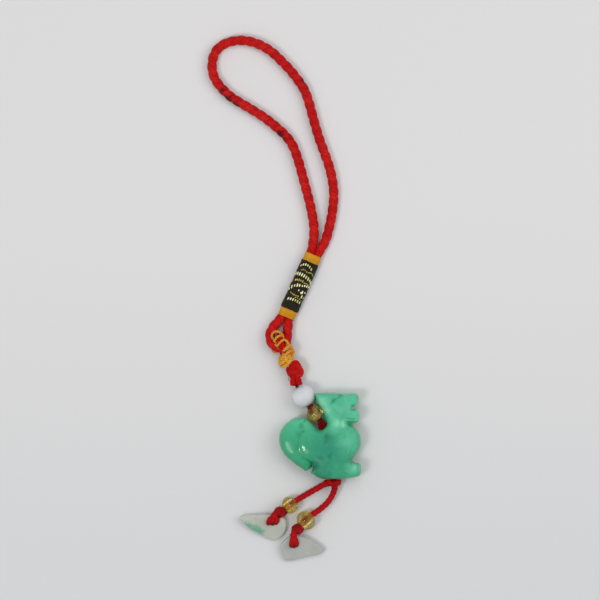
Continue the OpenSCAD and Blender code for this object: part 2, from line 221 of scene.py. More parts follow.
# Runs a geometry tree on an object and keeps its result as a plain mesh
def runTree(source, tree, values):
    modifier = source.modifiers.new("nodes", "NODES")
    modifier.node_group = tree
    for item in tree.interface.items_tree:
        if item.item_type == "SOCKET" and item.in_out == "INPUT" and item.name in values:
            modifier[item.identifier] = values[item.name]
    graph = bpy.context.evaluated_depsgraph_get()
    mesh = bpy.data.meshes.new_from_object(source.evaluated_get(graph))
    source.modifiers.remove(modifier)
    piece = bpy.data.objects.new(source.name.replace("Route", ""), mesh)
    scene.collection.objects.link(piece)
    bpy.data.objects.remove(source)
    return piece


def curveThrough(a, b, c, d, share):
    # Stretch of a smooth curve from b to c, whose outer neighbours are a and d
    return b + share * (c - a) / 2 + share ** 2 * (a - 2.5 * b + 2 * c - d / 2) \
        + share ** 3 * (1.5 * (b - c) + (d - a) / 2)


# Smooth line through rows of x, y, z and maybe thickness, with a point every gap millimetres
def smoothRoute(rows, gap=0.4):
    rows = np.array([list(row) + [1.0] * (4 - len(row)) for row in rows], float)
    ends = np.vstack([2 * rows[0] - rows[1], rows, 2 * rows[-1] - rows[-2]])
    share = np.linspace(0, 1, 16, endpoint=False)[:, None]
    stretches = [curveThrough(a, b, c, d, share) for a, b, c, d in zip(ends, ends[1:], ends[2:], ends[3:])]
    line = np.vstack(stretches + [rows[-1:]])
    length = np.concatenate([[0], np.cumsum(np.linalg.norm(np.diff(line[:, :3], axis=0), axis=1))])
    places = np.linspace(0, length[-1], max(2, round(length[-1] / gap)) + 1)
    return np.column_stack([np.interp(places, length, line[:, k]) for k in range(4)])


routeGaps = {"thread": 0.2, "knot": 0.25, "cord": 0.3}


def smoothRoutes(tables, kind):
    return [smoothRoute(rows, routeGaps[kind]) for rows in tables]


def routeObject(name, lines):
    points, edges, thick = [], [], []
    for line in lines:
        first = len(points)
        points += [tuple(row[:3] * mm) for row in line]
        thick += list(line[:, 3])
        edges += [(i, i + 1) for i in range(first, first + len(line) - 1)]
    mesh = bpy.data.meshes.new(name + "Route")
    mesh.from_pydata(points, edges, [])
    mesh.attributes.new("thick", "FLOAT", "POINT").data.foreach_set("value", thick)
    made = bpy.data.objects.new(name + "Route", mesh)
    scene.collection.objects.link(made)
    return made


def layCord(name, lines, values, material):
    inputs = {key: value * mm if isinstance(value, float) and key != "Crossing" else value
              for key, value in values.items()}
    return runTree(routeObject(name, lines), cordTree, dict(inputs, Finish=material))


def joinPieces(name, pieces):
    bpy.ops.object.select_all(action="DESELECT")
    for piece in pieces:
        piece.select_set(True)
    bpy.context.view_layer.objects.active = pieces[0]
    bpy.ops.object.join()
    pieces[0].name = name
    return pieces[0]


def finishPiece(piece, slotName, *nodes):
    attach(piece, "root")
    if nodes:
        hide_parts(*nodes)
    print("made", piece.name, len(piece.data.polygons), "faces")


# Places: a step along a heading in the plane, and a piece's own axes (right, up, along)
def step(point, heading, length):
    turn = math.radians(heading)
    return np.array([point[0] + length * math.cos(turn), point[1] + length * math.sin(turn), *point[2:3]])


class Place:
    def __init__(self, origin, heading, rise=0.0):
        turn, lift = math.radians(heading), math.radians(rise)
        level = math.cos(lift)
        self.origin = np.array(origin, float)
        self.along = np.array([math.cos(turn) * level, math.sin(turn) * level, math.sin(lift)])
        self.right = np.array([math.sin(turn), -math.cos(turn), 0.0])
        self.up = np.cross(self.right, self.along)

    def at(self, right, up, along):
        return self.origin + right * self.right + up * self.up + along * self.along

    def rows(self, points):
        return [[*self.at(*point[:3]), *point[3:]] for point in points]


# Shared shader groups
grainSet = {"fibre": (2600.0, 2.0), "ridges": 0.35, "shade": (0.1, 0.9), "edge": (900.0, 3.0)}


def buildFibreGroup():
    # Fine fibres that run along a strand: a height for the bump and a shade
    tree, wire, given = newGroup("threadFibre", "Shader",
                                 [("Along", "Float", 0.0), ("Around", "Float", 0.0), ("Fibres", "Float", 9.0),
                                  ("Slant", "Float", 400.0)], [("Height", "Float"), ("Shade", "Float")])
    turn = wire.times(wire.times(given["Around"], given["Fibres"]), math.tau)
    turn = wire.plus(turn, wire.times(given["Along"], given["Slant"]))
    height = wire.math("MULTIPLY_ADD", wire.math("SINE", turn), grainSet["ridges"],
                       wire.noise(*grainSet["fibre"]))
    wire.node("NodeGroupOutput", {"Height": height, "Shade": wire.ramp(height, *grainSet["shade"])})
    return tree


def buildSpotGroup():
    # Soft round mark at a place, with a ragged edge
    tree, wire, given = newGroup("softMark", "Shader",
                                 [("Place", "Vector", (0, 0, 0)), ("Size", "Float", 0.002),
                                  ("Ragged", "Float", 0.3), ("Middle", "Float", 0.35)], [("Mask", "Float")])
    away = wire.node("ShaderNodeVectorMath", {0: wire.place(), 1: given["Place"]},
                     operation="DISTANCE").outputs["Value"]
    ragged = wire.times(wire.math("SUBTRACT", wire.noise(*grainSet["edge"]), 0.5), given["Ragged"])
    away = wire.plus(wire.math("DIVIDE", away, given["Size"]), ragged)
    wire.node("NodeGroupOutput", {"Mask": wire.ramp(away, given["Middle"], 1.0, 1.0, 0.0)})
    return tree


fibreGroup = buildFibreGroup()
spotGroup = buildSpotGroup()


def newMaterial(name, **plain):
    # A material with its Principled shader; plain values go on the shader's own sockets
    material = bpy.data.materials.new(name)
    material.use_nodes = True
    shader = material.node_tree.nodes["Principled BSDF"]
    for key, value in plain.items():
        shader.inputs[key.replace("_", " ")].default_value = value
    return material, Wiring(material.node_tree), shader


def finishColour(wire, shader, base, height=None, strength=0.0, distance=0.0):
    wire.feed(shader.inputs["Base Color"], base)
    if height:
        wire.feed(shader.inputs["Normal"], wire.out("ShaderNodeBump", {"Height": height, "Strength": strength,
                                                                       "Distance": distance}))


def marks(wire, places, ragged=0.9, middle=0.35):
    # Soft marks at places, each a row of x, y, z and size in mm; their middle is full, as a share of the size
    mask = 0.0
    for x, y, z, size in places:
        spot = wire.out("ShaderNodeGroup", {"Place": (x * mm, y * mm, z * mm), "Size": size * mm,
                                            "Ragged": ragged, "Middle": middle}, node_tree=spotGroup)
        mask = wire.math("MAXIMUM", spot, mask)
    return mask


# Threads: colours: painted shade deep between the strands, main and light, then fibres across a strand and
# their slant.
# Stains on the braid and painted shade on cordRed are marks, rows of x, y, z and size in mm
threadSet = {
    "braidRed": {"colours": [(112, 4, 6), (190, 14, 16), (208, 30, 24)], "fibres": 5.0, "slant": 900.0,
                 "sheen": 0.03, "stainColour": (84, 12, 18),
                 "stains": [[-32.4, 115.4, 2.0, 2.0], [-30.8, 112.4, 1.8, 2.7], [-28.2, 109.6, 2.0, 2.4],
                            [-24.8, 106.8, 1.8, 1.9], [-13.2, 100.7, 2.4, 2.0], [-11.2, 99.2, 1.8, 1.9],
                            [-5.0, 118.6, 2.4, 1.7], [-2.8, 115.3, 2.4, 1.6]]},
    "cordRed": {"colours": [(100, 2, 6), (172, 10, 16), (196, 20, 20)], "fibres": 4.0, "slant": 1500.0,
                # cordRed's marks are painted shade: darker where the cord runs inside the two tail beads, and
                # at the strand ends where they dive into the chips' holes
                "stainColour": (104, 8, 14),
                "stains": [[-9.1, -23.1, 2.5, 1.7], [-4.5, -28.0, 3.0, 2.0], [-15.9, -29.6, 3.2, 1.9],
                           [-8.9, -37.0, 3.2, 2.1]]},
    "knotRed": {"colours": [(112, 2, 6), (198, 12, 14), (220, 30, 22)], "fibres": 3.0, "slant": 1200.0},
    "tailRed": {"colours": [(84, 2, 6), (156, 10, 16), (178, 22, 24)], "fibres": 3.0, "slant": 1200.0},
    # painted shade: a darker copy of the cord's red for the bead cord, which lies in shade between the beads
    # and the jade
    "shadedCordRed": {"colours": [(52, 2, 4), (112, 8, 8), (140, 16, 12)], "fibres": 3.0, "slant": 1500.0},
    "threadGold": {"colours": [(164, 86, 8), (236, 152, 34), (250, 190, 82)], "fibres": 3.0, "slant": 2600.0,
                   "roughness": 0.42, "sheen": 0.04},
    "knotGold": {"colours": [(184, 118, 16), (230, 164, 40), (248, 208, 104)], "fibres": 3.0, "slant": 2600.0,
                 "roughness": 0.42, "sheen": 0.04},
    "bindingGold": {"colours": [(146, 88, 10), (228, 162, 31), (238, 182, 56)], "fibres": 2.0,
                    "slant": 3000.0, "roughness": 0.5, "sheen": 0.04}}


threadShade = {"clouds": (260.0, 3.0, 0.0, 0.35, 0.7), "deep": (-0.95, 0.45, 0.9, 0.0), "fibreShare": 0.35,
               "bump": (0.6, 0.00006)}


def makeThread(name, colours, fibres, slant, roughness=0.55, sheen=0.02, stains=(), stainColour=None):
    # Painted shade: colour darkens where a strand dives under its neighbour and in the grooves between its
    # fibres
    s = threadShade
    paintedShadeColour, main, light = (colour(*shade) for shade in colours)
    material, wire, shader = newMaterial(name, Roughness=roughness, Sheen_Weight=sheen, Sheen_Roughness=0.4,
                                         Specular_IOR_Level=0.12)
    fibre = wire.node("ShaderNodeGroup", {"Along": wire.attribute("along"), "Fibres": fibres, "Slant": slant,
                                          "Around": wire.attribute("around")}, node_tree=fibreGroup).outputs
    base = wire.clouds(s["clouds"], main, light)
    # painted shade where a strand dives under its neighbour
    base = wire.mix(wire.ramp(wire.attribute("lift"), *s["deep"]), base, paintedShadeColour)
    # painted shade in the grooves between the fibres
    base = wire.mix(wire.times(wire.math("SUBTRACT", 1.0, fibre["Shade"]), s["fibreShare"]), base, paintedShadeColour)
    # real stains on the braid, painted shade on cordRed
    if stains:
        base = wire.mix(marks(wire, stains), base, colour(*stainColour))
    finishColour(wire, shader, base, fibre["Height"], *s["bump"])
    return material


threads = {name: makeThread(name, **values) for name, values in threadSet.items()}

# Braided cord: route points measured from the sleeve's two ends, as in the part's source
sleeveSet = {"low": (-11.39, 39.62), "turn": 65.9, "length": 22.7, "level": 2.17, "runOffset": 1.15}
handLoop = [[-0.2, 4], [0.1, 9], [-0.8, 15], [-2, 20], [-3.5, 25.5], [-5, 31], [-6.8, 36], [-9, 39.3],
            [-12, 42.2], [-16, 45.4], [-20, 48], [-24, 50.4], [-27.5, 52.6], [-30.5, 55.4], [-32.8, 58.5],
            [-33.8, 62], [-33.5, 65.5], [-32, 68.5], [-29, 70.5], [-25, 71.4], [-21, 71], [-17, 69.5],
            [-13.5, 67.2], [-10, 63.8], [-7.2, 60.8], [-4.6, 57.3], [-2.9, 54.5], [-1.5, 50.5], [0, 45],
            [1.6, 39.5], [3.4, 34.5], [5, 30], [6.2, 25], [6.7, 20], [6.3, 15], [5.4, 10], [3.8, 4.5]]
lowerLoop = [[0.8, -2.1, 0.0], [0.5, -5.1, 0.1], [0.4, -7.6, 0.5], [-0.4, -9.4, 1.0], [-1.9, -10.2, 1.0],
             [-3.7, -9.8, 1.0], [-4.9, -8.3, 0.5], [-5.3, -6.1, 0.1], [-4.5, -3.8, 0.0], [-2.8, -1.7, 0.0]]
braidSet = {"loopLevel": 1.64, "arcLevel": 2.975, "inSleeve": 0.74, "atMouth": 0.88, "mouth": 0.1,
            "onArc": 0.95, "upRun": (0.505, 0.75, 0.97),
            "downRun": (0.97, 0.75, 0.5, 0.25, 0.03), "lastRun": (0.03, 0.25, 0.495),
            "strands": {"Strands": 4, "Crossing": 1.0, "Pitch": 6.0, "Core Radius": 0.95, "Weave": 0.09,
                        "Strand Width": 2.3, "Strand Thickness": 1.28, "Step": 0.3, "Sides": 12}}


def braidRoute():
    s, b = sleeveSet, braidSet
    low = np.array(s["low"] + (s["level"],))
    high = step(low, s["turn"], s["length"])

    def channel(share, side):
        # In the sleeve, at a share of its length and to one side of its middle
        middle = step(low, s["turn"], s["length"] * share)
        inside = b["mouth"] < share < 1 - b["mouth"]
        thick = b["inSleeve"] if inside else b["atMouth"]
        return [*step(middle, s["turn"] + 90 * side, s["runOffset"]), thick]

    rows = [channel(share, 1) for share in b["upRun"]]
    rows += [[high[0] + x, high[1] + y, b["loopLevel"]] for x, y in handLoop]
    rows += [channel(share, -1) for share in b["downRun"]]
    rows += [[low[0] + x, low[1] + y, s["level"] + (b["arcLevel"] - s["level"]) * lift,
              1.0 + (b["onArc"] - 1.0) * lift] for x, y, lift in lowerLoop]
    rows += [channel(share, 1) for share in b["lastRun"]]
    return smoothRoute(rows)


braidLine = braidRoute()
braidedCord = layCord("braidedCord", [braidLine], braidSet["strands"], threads["braidRed"])
finishPiece(braidedCord, "braid", "braided_cord")

# Tail cords: from the stopper knot through bead and knot, over the chip, through its hole and back
boreSet = {"top": (1.206, 2.414), "foot": (4.288, -14.2), "radius": 1.8, "past": 1.6}
tailShared = {"level": 2.95, "beadLength": 4.6, "beadGap": 0.3, "knotLength": 3.4, "knotRise": 1.2,
              "chipThickness": 1.6, "chipLift": 1.0}
tailSets = {
    "left": {"points": [[-1.1, -1.5], [-2.7, -1.9], [-4.4, -2.7], [-7.4, -4.4], [-10, -5.9], [-12.4, -7.4]],
             "beadTurn": 217, "beadWidth": 5.9, "beadGrow": 0.0, "knotTurn": 209, "strandTurn": 251,
             "strandLength": 3.2, "chipReach": 5.28, "spread": 1.1, "oblique": 0.5,
             "middleThick": 0.92},
    "right": {"points": [[0.9, -1.5], [0.6, -2.8], [0.4, -4], [-0.8, -6.5], [-2.4, -8.5], [-4.6, -10.4],
                         [-7.3, -12.3]],
              "beadTurn": 223, "beadWidth": 6.7, "beadGrow": 0.08, "knotTurn": 230, "strandTurn": 272,
              "strandLength": 4.3, "chipReach": 4.66, "spread": 0.66, "oblique": 0.1,
              "middleThick": 0.92}}
tailCordSet = {"Strands": 8, "Crossing": 1.0, "Pitch": 6.4, "Core Radius": 0.75, "Weave": 0.06,
               "Strand Width": 0.9, "Strand Thickness": 0.5, "Step": 0.2, "Sides": 8}


def tailPlaces(t):
    beadStart = np.append(np.array(boreSet["foot"]) + t["points"][-1], tailShared["level"])
    beadEnd = step(beadStart, t["beadTurn"], tailShared["beadLength"])
    knotStart = step(beadEnd, t["beadTurn"], tailShared["beadGap"])
    knotEnd = step(knotStart, t["knotTurn"], tailShared["knotLength"])
    knotEnd[2] += tailShared["knotRise"]
    hole = step(knotEnd, t["strandTurn"], t["strandLength"])
    hole[2] = 0.0
    return beadStart, beadEnd, knotStart, knotEnd, hole


def tailLines(t):
    beadStart, beadEnd, knotStart, knotEnd, hole = tailPlaces(t)
    under, reach = tailShared["chipLift"], t["strandLength"]
    slope = under / t["chipReach"] * -math.sin(math.radians(t["strandTurn"]))
    over = lambda away: under + away * slope + tailShared["chipThickness"]
    single = [[*(np.array(boreSet["foot"]) + point), tailShared["level"]] for point in t["points"]]
    single += [beadEnd, knotStart, [*((knotStart + knotEnd) / 2), 0.9]]
    lines = [smoothRoute(single)]
    for side in (-1, 0, 1):
        rows = []
        fat = t["middleThick"] if side == 0 else 1.0
        late = side * t["oblique"]
        # Each row: how far from the hole, level, thickness and spread
        for away, level, thick, spread in (
                (reach + 1.2, knotEnd[2] - 0.1, 0.6, 0.2), (reach, knotEnd[2] + 0.1, 0.74, 0.4),
                (reach * 0.62, over(reach * 0.62) + 1.0, 0.84, 0.66),
                (1.7 + late, over(1.7) + 0.9, 0.95, 0.92), (0.85 + late, over(0.85) + 0.8, 0.98, 1.0),
                (0.42 + late, over(0.4) + 0.25, 0.9, 1.0), (0.36 + late * 0.5, over(0.3) - 0.9, 0.5, 0.7),
                (0.9, under - 0.45, 0.36, 0.5), (reach + 0.2, under - 0.3, 0.36, 0.5)):
            point = step(hole, t["strandTurn"], -away)
            point = step(point, t["strandTurn"] + 90, side * t["spread"] * spread)
            rows.append([point[0], point[1], level, thick * fat])
        lines.append(smoothRoute(rows))
    return lines


for sideName, t in tailSets.items():
    lines = tailLines(t)
    piece = layCord(sideName + "TailCord", lines, tailCordSet, threads["cordRed"])
    finishPiece(piece, "thin_cord", sideName + "_tail_cord")
print("cords laid")

# Floor and lamps, in metres
# the floor's two colours paint the light's falloff: darker on the near side
floorSet = {"size": 2.4, "near": -0.06, "far": 0.09, "nearColour": (207, 208, 209),
            "farColour": (216, 215, 216)}
lightSet = {"world": 0.45, "worldColour": (1.0, 1.0, 1.0, 1.0), "target": (0.0, 0.04, 0.0)}
lampSets = {"windowLight": {"place": (-0.44, -0.24, 0.86), "size": 0.2, "power": 1.7, "glossy": True},
            "windowGlow": {"place": (-0.44, -0.24, 0.86), "size": 0.5, "power": 1.4, "glossy": False},
            "roomLight": {"place": (0.62, 0.22, 0.72), "size": 0.75, "power": 3.1, "glossy": False},
            "topLight": {"place": (-0.12, 0.62, 1.2), "size": 0.8, "power": 2.8, "glossy": False}}


def makeFloor(values):
    bpy.ops.mesh.primitive_plane_add(size=values["size"], location=(0, 0, 0))
    floor = bpy.context.active_object
    floor.name = "floor"
    material, wire, shader = newMaterial("floorPaper", Roughness=0.85, Specular_IOR_Level=0.2)
    # painted light falloff: the floor's colour darkens towards the bottom of the view
    height = wire.node("ShaderNodeSeparateXYZ", {0: wire.place()}).outputs[1]
    finishColour(wire, shader, wire.mix(wire.ramp(height, values["near"], values["far"]),
                                        colour(*values["nearColour"]), colour(*values["farColour"])))
    floor.data.materials.append(material)
    floor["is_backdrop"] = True


def makeLamp(name, values):
    lamp = bpy.data.objects.new(name, bpy.data.lights.new(name, "AREA"))
    lamp.data.shape = "DISK"
    lamp.data.size = values["size"]
    lamp.data.energy = values["power"]
    lamp.location = Vector(values["place"])
    lamp.visible_glossy = values["glossy"]
    lamp.rotation_mode = "QUATERNION"
    way = Vector(lightSet["target"]) - Vector(values["place"])
    lamp.rotation_quaternion = way.to_track_quat("-Z", "Y")
    scene.collection.objects.link(lamp)


def makeLight():
    world = bpy.data.worlds.new("studio")
    world.use_nodes = True
    world.node_tree.nodes["Background"].inputs["Color"].default_value = lightSet["worldColour"]
    world.node_tree.nodes["Background"].inputs["Strength"].default_value = lightSet["world"]
    scene.world = world
    for name, values in lampSets.items():
        makeLamp(name, values)
    scene.view_settings.view_transform = "Standard"


makeFloor(floorSet)
makeLight()
print("floor and lamps placed")


def meshObject(name, points, faces, material):
    # Mesh from points in millimetres, its faces turned outwards
    mesh = bpy.data.meshes.new(name)
    mesh.from_pydata((np.array(points) * mm).tolist(), [], np.array(faces).tolist())
    shape = bmesh.new()
    shape.from_mesh(mesh)
    bmesh.ops.remove_doubles(shape, verts=shape.verts, dist=1e-7)
    bmesh.ops.recalc_face_normals(shape, faces=shape.faces)
    shape.to_mesh(mesh)
    shape.free()
    mesh.materials.append(material)
    mesh.shade_smooth()
    piece = bpy.data.objects.new(name, mesh)
    scene.collection.objects.link(piece)
    return piece


def loft(name, rings, material):
    # Closed surface from rings of points, each joined to the next and the last to the first
    rings = np.array(rings)
    count, sides = rings.shape[:2]
    i, j = np.meshgrid(np.arange(count), np.arange(sides), indexing="ij")
    after, beside = (i + 1) % count, (j + 1) % sides
    quads = np.stack([i * sides + j, after * sides + j, after * sides + beside, i * sides + beside], -1)
    return meshObject(name, rings.reshape(-1, 3), quads.reshape(-1, 4), material)


def ball(name, place, halves, material):
    # Closed oval with its three half sizes along a place's axes
    bpy.ops.mesh.primitive_uv_sphere_add(segments=32, ring_count=16, radius=1.0)
    piece = bpy.context.active_object
    piece.name = name
    for vertex in piece.data.vertices:
        vertex.co = Vector(place.at(*(way * half for way, half in zip(vertex.co, halves)))) * mm
    piece.data.materials.append(material)
    piece.data.shade_smooth()
    return piece


# Stone carving: a stone is a field that is negative inside, cut out on a fine grid
def outlineCurve(points, steps=4):
    points = np.array(points, float)
    a, b, c, d = (np.roll(points, shift, 0)[:, None, :] for shift in (1, 0, -1, -2))
    share = (np.arange(steps) / steps)[None, :, None]
    return curveThrough(a, b, c, d, share).reshape(-1, 2)


def lineDistance(x, y, points, closed=False):
    # Distance in the plane from every grid place to a line of points, and whether it is inside
    points = np.array(points, float)
    ends = np.roll(points, -1, 0) if closed else points[1:]
    best = np.full(x.shape, 1e9)
    inside = np.zeros(x.shape, bool)
    for (ax, ay), (bx, by) in zip(points, ends):
        dx, dy = bx - ax, by - ay
        share = np.clip(((x - ax) * dx + (y - ay) * dy) / (dx * dx + dy * dy + 1e-12), 0, 1)
        best = np.minimum(best, (x - ax - share * dx) ** 2 + (y - ay - share * dy) ** 2)
        crosses = (ay > y) != (by > y)
        with np.errstate(divide="ignore", invalid="ignore"):
            inside ^= crosses & (x < ax + (y - ay) * dx / (dy if dy else 1e-12))
    return np.sqrt(best), inside


def softDistance(x, y, curve, power=4, gap=0.1):
    # Distance that every stretch of a closed line has a share in, the nearest the largest
    ends = np.roll(curve, -1, 0)
    total = np.zeros(x.shape)
    for a, b in zip(curve, ends):
        length = math.dist(a, b)
        count = max(1, math.ceil(length / gap))
        for place in (np.arange(count) + 0.5) / count:
            px, py = a + (b - a) * place
            total += length / count * ((x - px) ** 2 + (y - py) ** 2 + 1e-6) ** (-power / 2)
    flat = math.sqrt(math.pi) * math.gamma((power - 1) / 2) / math.gamma(power / 2)
    return (total / flat) ** (-1 / (power - 1))


pillowSet = {"power": 2.3, "rimSharp": 1.6, "softFrom": 0.12, "softOver": 0.4}


class StoneField:
    def __init__(self, low, high, cell):
        self.low, self.cell = np.array(low, float), cell
        counts = np.ceil((np.array(high) - self.low) / cell).astype(int) + 1
        self.axes = [self.low[k] + cell * np.arange(counts[k]) for k in range(3)]
        self.x, self.y = np.meshgrid(self.axes[0], self.axes[1], indexing="ij")
        self.z = self.axes[2][None, None, :]
        self.total = np.zeros(tuple(counts))
        self.field = None

    def pillow(self, outline, level, half, rounding):
        # Polished slab over an outline, with its rim rounded over the given width. Its depth is a soft
        # distance to the whole outline, so no crease runs where two sides are equally near
        p = pillowSet
        curve = outlineCurve(outline)
        away, inside = lineDistance(self.x, self.y, curve, True)
        soft = softDistance(self.x, self.y, curve)
        share = np.clip((away - p["softFrom"]) / p["softOver"], 0, 1)
        depth = np.where(inside, away + (np.minimum(soft, away) - away) * share, -away)
        rim = np.exp(np.clip(-p["rimSharp"] * depth / rounding, -8, 2))[:, :, None]
        high = np.abs(self.z - level) / half
        slab = (high ** p["power"] + rim ** p["power"]) ** (1 / p["power"]) - 1
        return slab * min(half, rounding / p["rimSharp"])

    def add(self, part, blend):
        self.total += np.exp(np.clip(-part / blend, -60, 60))
        self.field = -blend * np.log(self.total)

    def cut(self, part, blend=0.12):
        # Smooth cut by a field that is negative where stone is taken away
        high = np.maximum(self.field, -part)
        self.field = high + blend * np.log1p(np.exp(-np.abs(self.field + part) / blend))

    def groove(self, points, depth, width, above):
        away, _ = lineDistance(self.x, self.y, points)
        mark = depth * np.exp(-(away / width) ** 2)
        self.field = self.field + mark[:, :, None] * (self.z > above)


def carve(name, stone, material, smoothing, lay=None):
    # Surface of the field: one point in each cell that it passes through, joined by quads
    f = stone.field
    unit = np.eye(3, dtype=int)
    shape = tuple(n - 1 for n in f.shape)
    corner = lambda i, j, k: f[i:i + shape[0], j:j + shape[1], k:k + shape[2]]
    total = np.zeros(shape + (3,), np.float32)
    count = np.zeros(shape, np.float32)
    for first in np.ndindex(2, 2, 2):
        for axis in range(3):
            if first[axis]:
                continue
            fa, fb = corner(*first), corner(*(first + unit[axis]))
            crossing = (fa < 0) != (fb < 0)
            share = np.where(crossing, fa / np.where(crossing, fa - fb, 1), 0)
            for k in range(3):
                place = first[k] + (share if k == axis else 0)
                total[..., k] += np.where(crossing, place, 0)
            count += crossing
    used = count > 0
    index = np.full(shape, -1)
    index[used] = np.arange(used.sum())
    points = (np.argwhere(used) + total[used] / count[used][:, None]) * stone.cell + stone.low
    quads = []
    for axis in range(3):
        u, v = unit[(axis + 1) % 3], unit[(axis + 2) % 3]
        inner = [slice(1, -1)] * 3
        inner[axis] = slice(0, -1)
        nextOne = list(inner)
        nextOne[axis] = slice(1, None)
        fa, fb = f[tuple(inner)], f[tuple(nextOne)]
        found = np.argwhere((fa < 0) != (fb < 0))
        leaving = (fa < 0)[tuple(found.T)]
        start = found + 1 - unit[axis]
        ring = np.stack([index[tuple((start - back).T)] for back in (0 * u, u, u + v, v)], 1)
        ring[~leaving] = ring[~leaving][:, ::-1]
        quads.append(ring)
    if lay:
        points = lay(points)
    piece = meshObject(name, points, np.vstack(quads), material)
    modifier = piece.modifiers.new("smooth", "SMOOTH")
    modifier.factor, modifier.iterations = 0.5, smoothing
    graph = bpy.context.evaluated_depsgraph_get()
    mesh = bpy.data.meshes.new_from_object(piece.evaluated_get(graph))
    piece.modifiers.clear()
    piece.data = mesh
    return piece


# Tints of the jade and painted light and shade on it: soft marks (x, y, z and size in mm), each set towards
# one colour
jadeTintsAndPaintedLight = [
    ([[2.4, -4.6, 7.6, 10.5], [1.0, -11.0, 7.0, 7.0], [3.0, -0.5, 7.6, 5.0]], (42, 146, 116)),
    # painted shade: darker green along the rims, in the notches and in the groove under the jaw
    ([[0.5, -14.0, 4.6, 4.6], [0.4, -12.4, 6.8, 3.8], [7.0, -13.8, 4.6, 4.2], [-7.4, -10.0, 4.6, 4.0],
      [-3.6, -8.4, 6.0, 3.4], [-11.0, -6.6, 4.4, 3.0], [12.2, 12.8, 5.4, 2.6], [12.4, 5.4, 5.0, 2.6],
      [9.6, 4.3, 6.6, 2.4], [13.0, 0.0, 4.0, 3.0], [11.6, -7.6, 4.6, 3.0]], (20, 142, 92)),
    # painted shade along the carved grooves of the tail and the head
    ([[-7.3, 0.6, 7.4, 1.7], [-7.8, -3.4, 7.2, 1.8], [-6.4, 3.4, 7.4, 1.6], [4.6, 11.8, 7.2, 1.5],
      [6.8, 13.4, 6.6, 1.4]], (44, 158, 116)),
    ([[9.6, -2.0, 7.4, 6.4], [10.6, -10.8, 6.6, 4.2], [8.0, 8.4, 7.2, 5.2],
      [5.0, 2.6, 7.6, 3.4]], (92, 188, 152)),
    # painted highlights: the pale patch on the head's left chamfer, the light band where the neck meets the
    # body, and a glint on the paw
    ([[0.9, 11.4, 6.8, 3.0], [1.9, 8.9, 6.8, 2.6], [5.6, 4.4, 7.2, 2.2], [7.6, 4.2, 7.2, 2.0],
      [11.4, -10.6, 6.4, 2.4]], (142, 220, 184)),
    # painted shade on the low haunch, darkening the grey sheen of its rough highlight
    ([[-0.4, -9.8, 7.2, 3.4], [-0.2, -7.6, 7.4, 2.2]], (8, 120, 92))]
jadeFinish = {
    "lowColour": (54, 161, 117), "highColour": (90, 193, 154), "cloudColour": (42, 140, 112),
    "fineColour": (110, 204, 164), "speckColour": (24, 96, 84),
    "rise": (-0.004, 0.010), "clouds": (90.0, 3.0, 0.6, 0.42, 0.72, 0.0, 0.3),
    "fineClouds": (420.0, 4.0, 0.0, 0.5, 0.8, 0.0, 0.15), "speckShare": 0.6, "plainRough": 0.12,
    "tailRoughMore": 0.2, "roughMore": 0.44, "tints": {"ragged": 0.5, "middle": 0.0},
    "specks": {"ragged": 1.2, "middle": 0.1, "places": [
        [2.4, -0.2, 7.6, 1.5], [3.3, -6.5, 7.8, 1.5], [3.5, -12.0, 7.4, 1.1], [1.8, -1.8, 7.8, 1.2],
        [8.0, -0.2, 7.6, 0.9], [-5.6, 1.6, 7.6, 0.6], [2.6, -8.6, 7.8, 1.0]]},
    "rough": {"ragged": 0.3, "middle": 0.2, "places": [
        [0.9, 11.4, 6.8, 5.0], [2.4, 7.8, 6.8, 5.0], [3.4, 4.6, 6.8, 4.0], [5.4, 8.2, 7.0, 3.6],
        [-0.4, -9.8, 7.2, 3.4], [-7.0, -5.0, 6.8, 1.1], [-4.3, -5.1, 7.2, 1.4]]},
    "tailRough": {"ragged": 0.6, "middle": 0.1, "places": [[-10.4, -3.6, 6.8, 3.4]]}}


def makeJadeMaterial(values):
    material, wire, shader = newMaterial("jadeStone", IOR=1.5, Subsurface_Weight=0.6, Subsurface_Scale=0.0022,
                                         Subsurface_Radius=(0.4, 1.0, 0.7))
    tone = {name: colour(*value) for name, value in values.items() if name.endswith("Colour")}
    height = wire.node("ShaderNodeSeparateXYZ", {0: wire.place()}).outputs[1]
    base = wire.mix(wire.ramp(height, *values["rise"]), tone["lowColour"], tone["highColour"])
    # the jade's own tints, painted shade along rims, notches and grooves, and painted highlights
    for places, markColour in jadeTintsAndPaintedLight:
        base = wire.mix(marks(wire, places, **values["tints"]), base, colour(*markColour))
    base = wire.clouds(values["clouds"], base, tone["cloudColour"])
    base = wire.clouds(values["fineClouds"], base, tone["fineColour"])
    specks = wire.times(marks(wire, **values["specks"]), values["speckShare"])
    base = wire.mix(specks, base, tone["speckColour"])
    tailRough = wire.math("MULTIPLY_ADD", marks(wire, **values["tailRough"]), values["tailRoughMore"],
                          values["plainRough"])
    rough = wire.math("MULTIPLY_ADD", marks(wire, **values["rough"]), values["roughMore"], tailRough)
    wire.feed(shader.inputs["Roughness"], rough)
    finishColour(wire, shader, base)
    return material


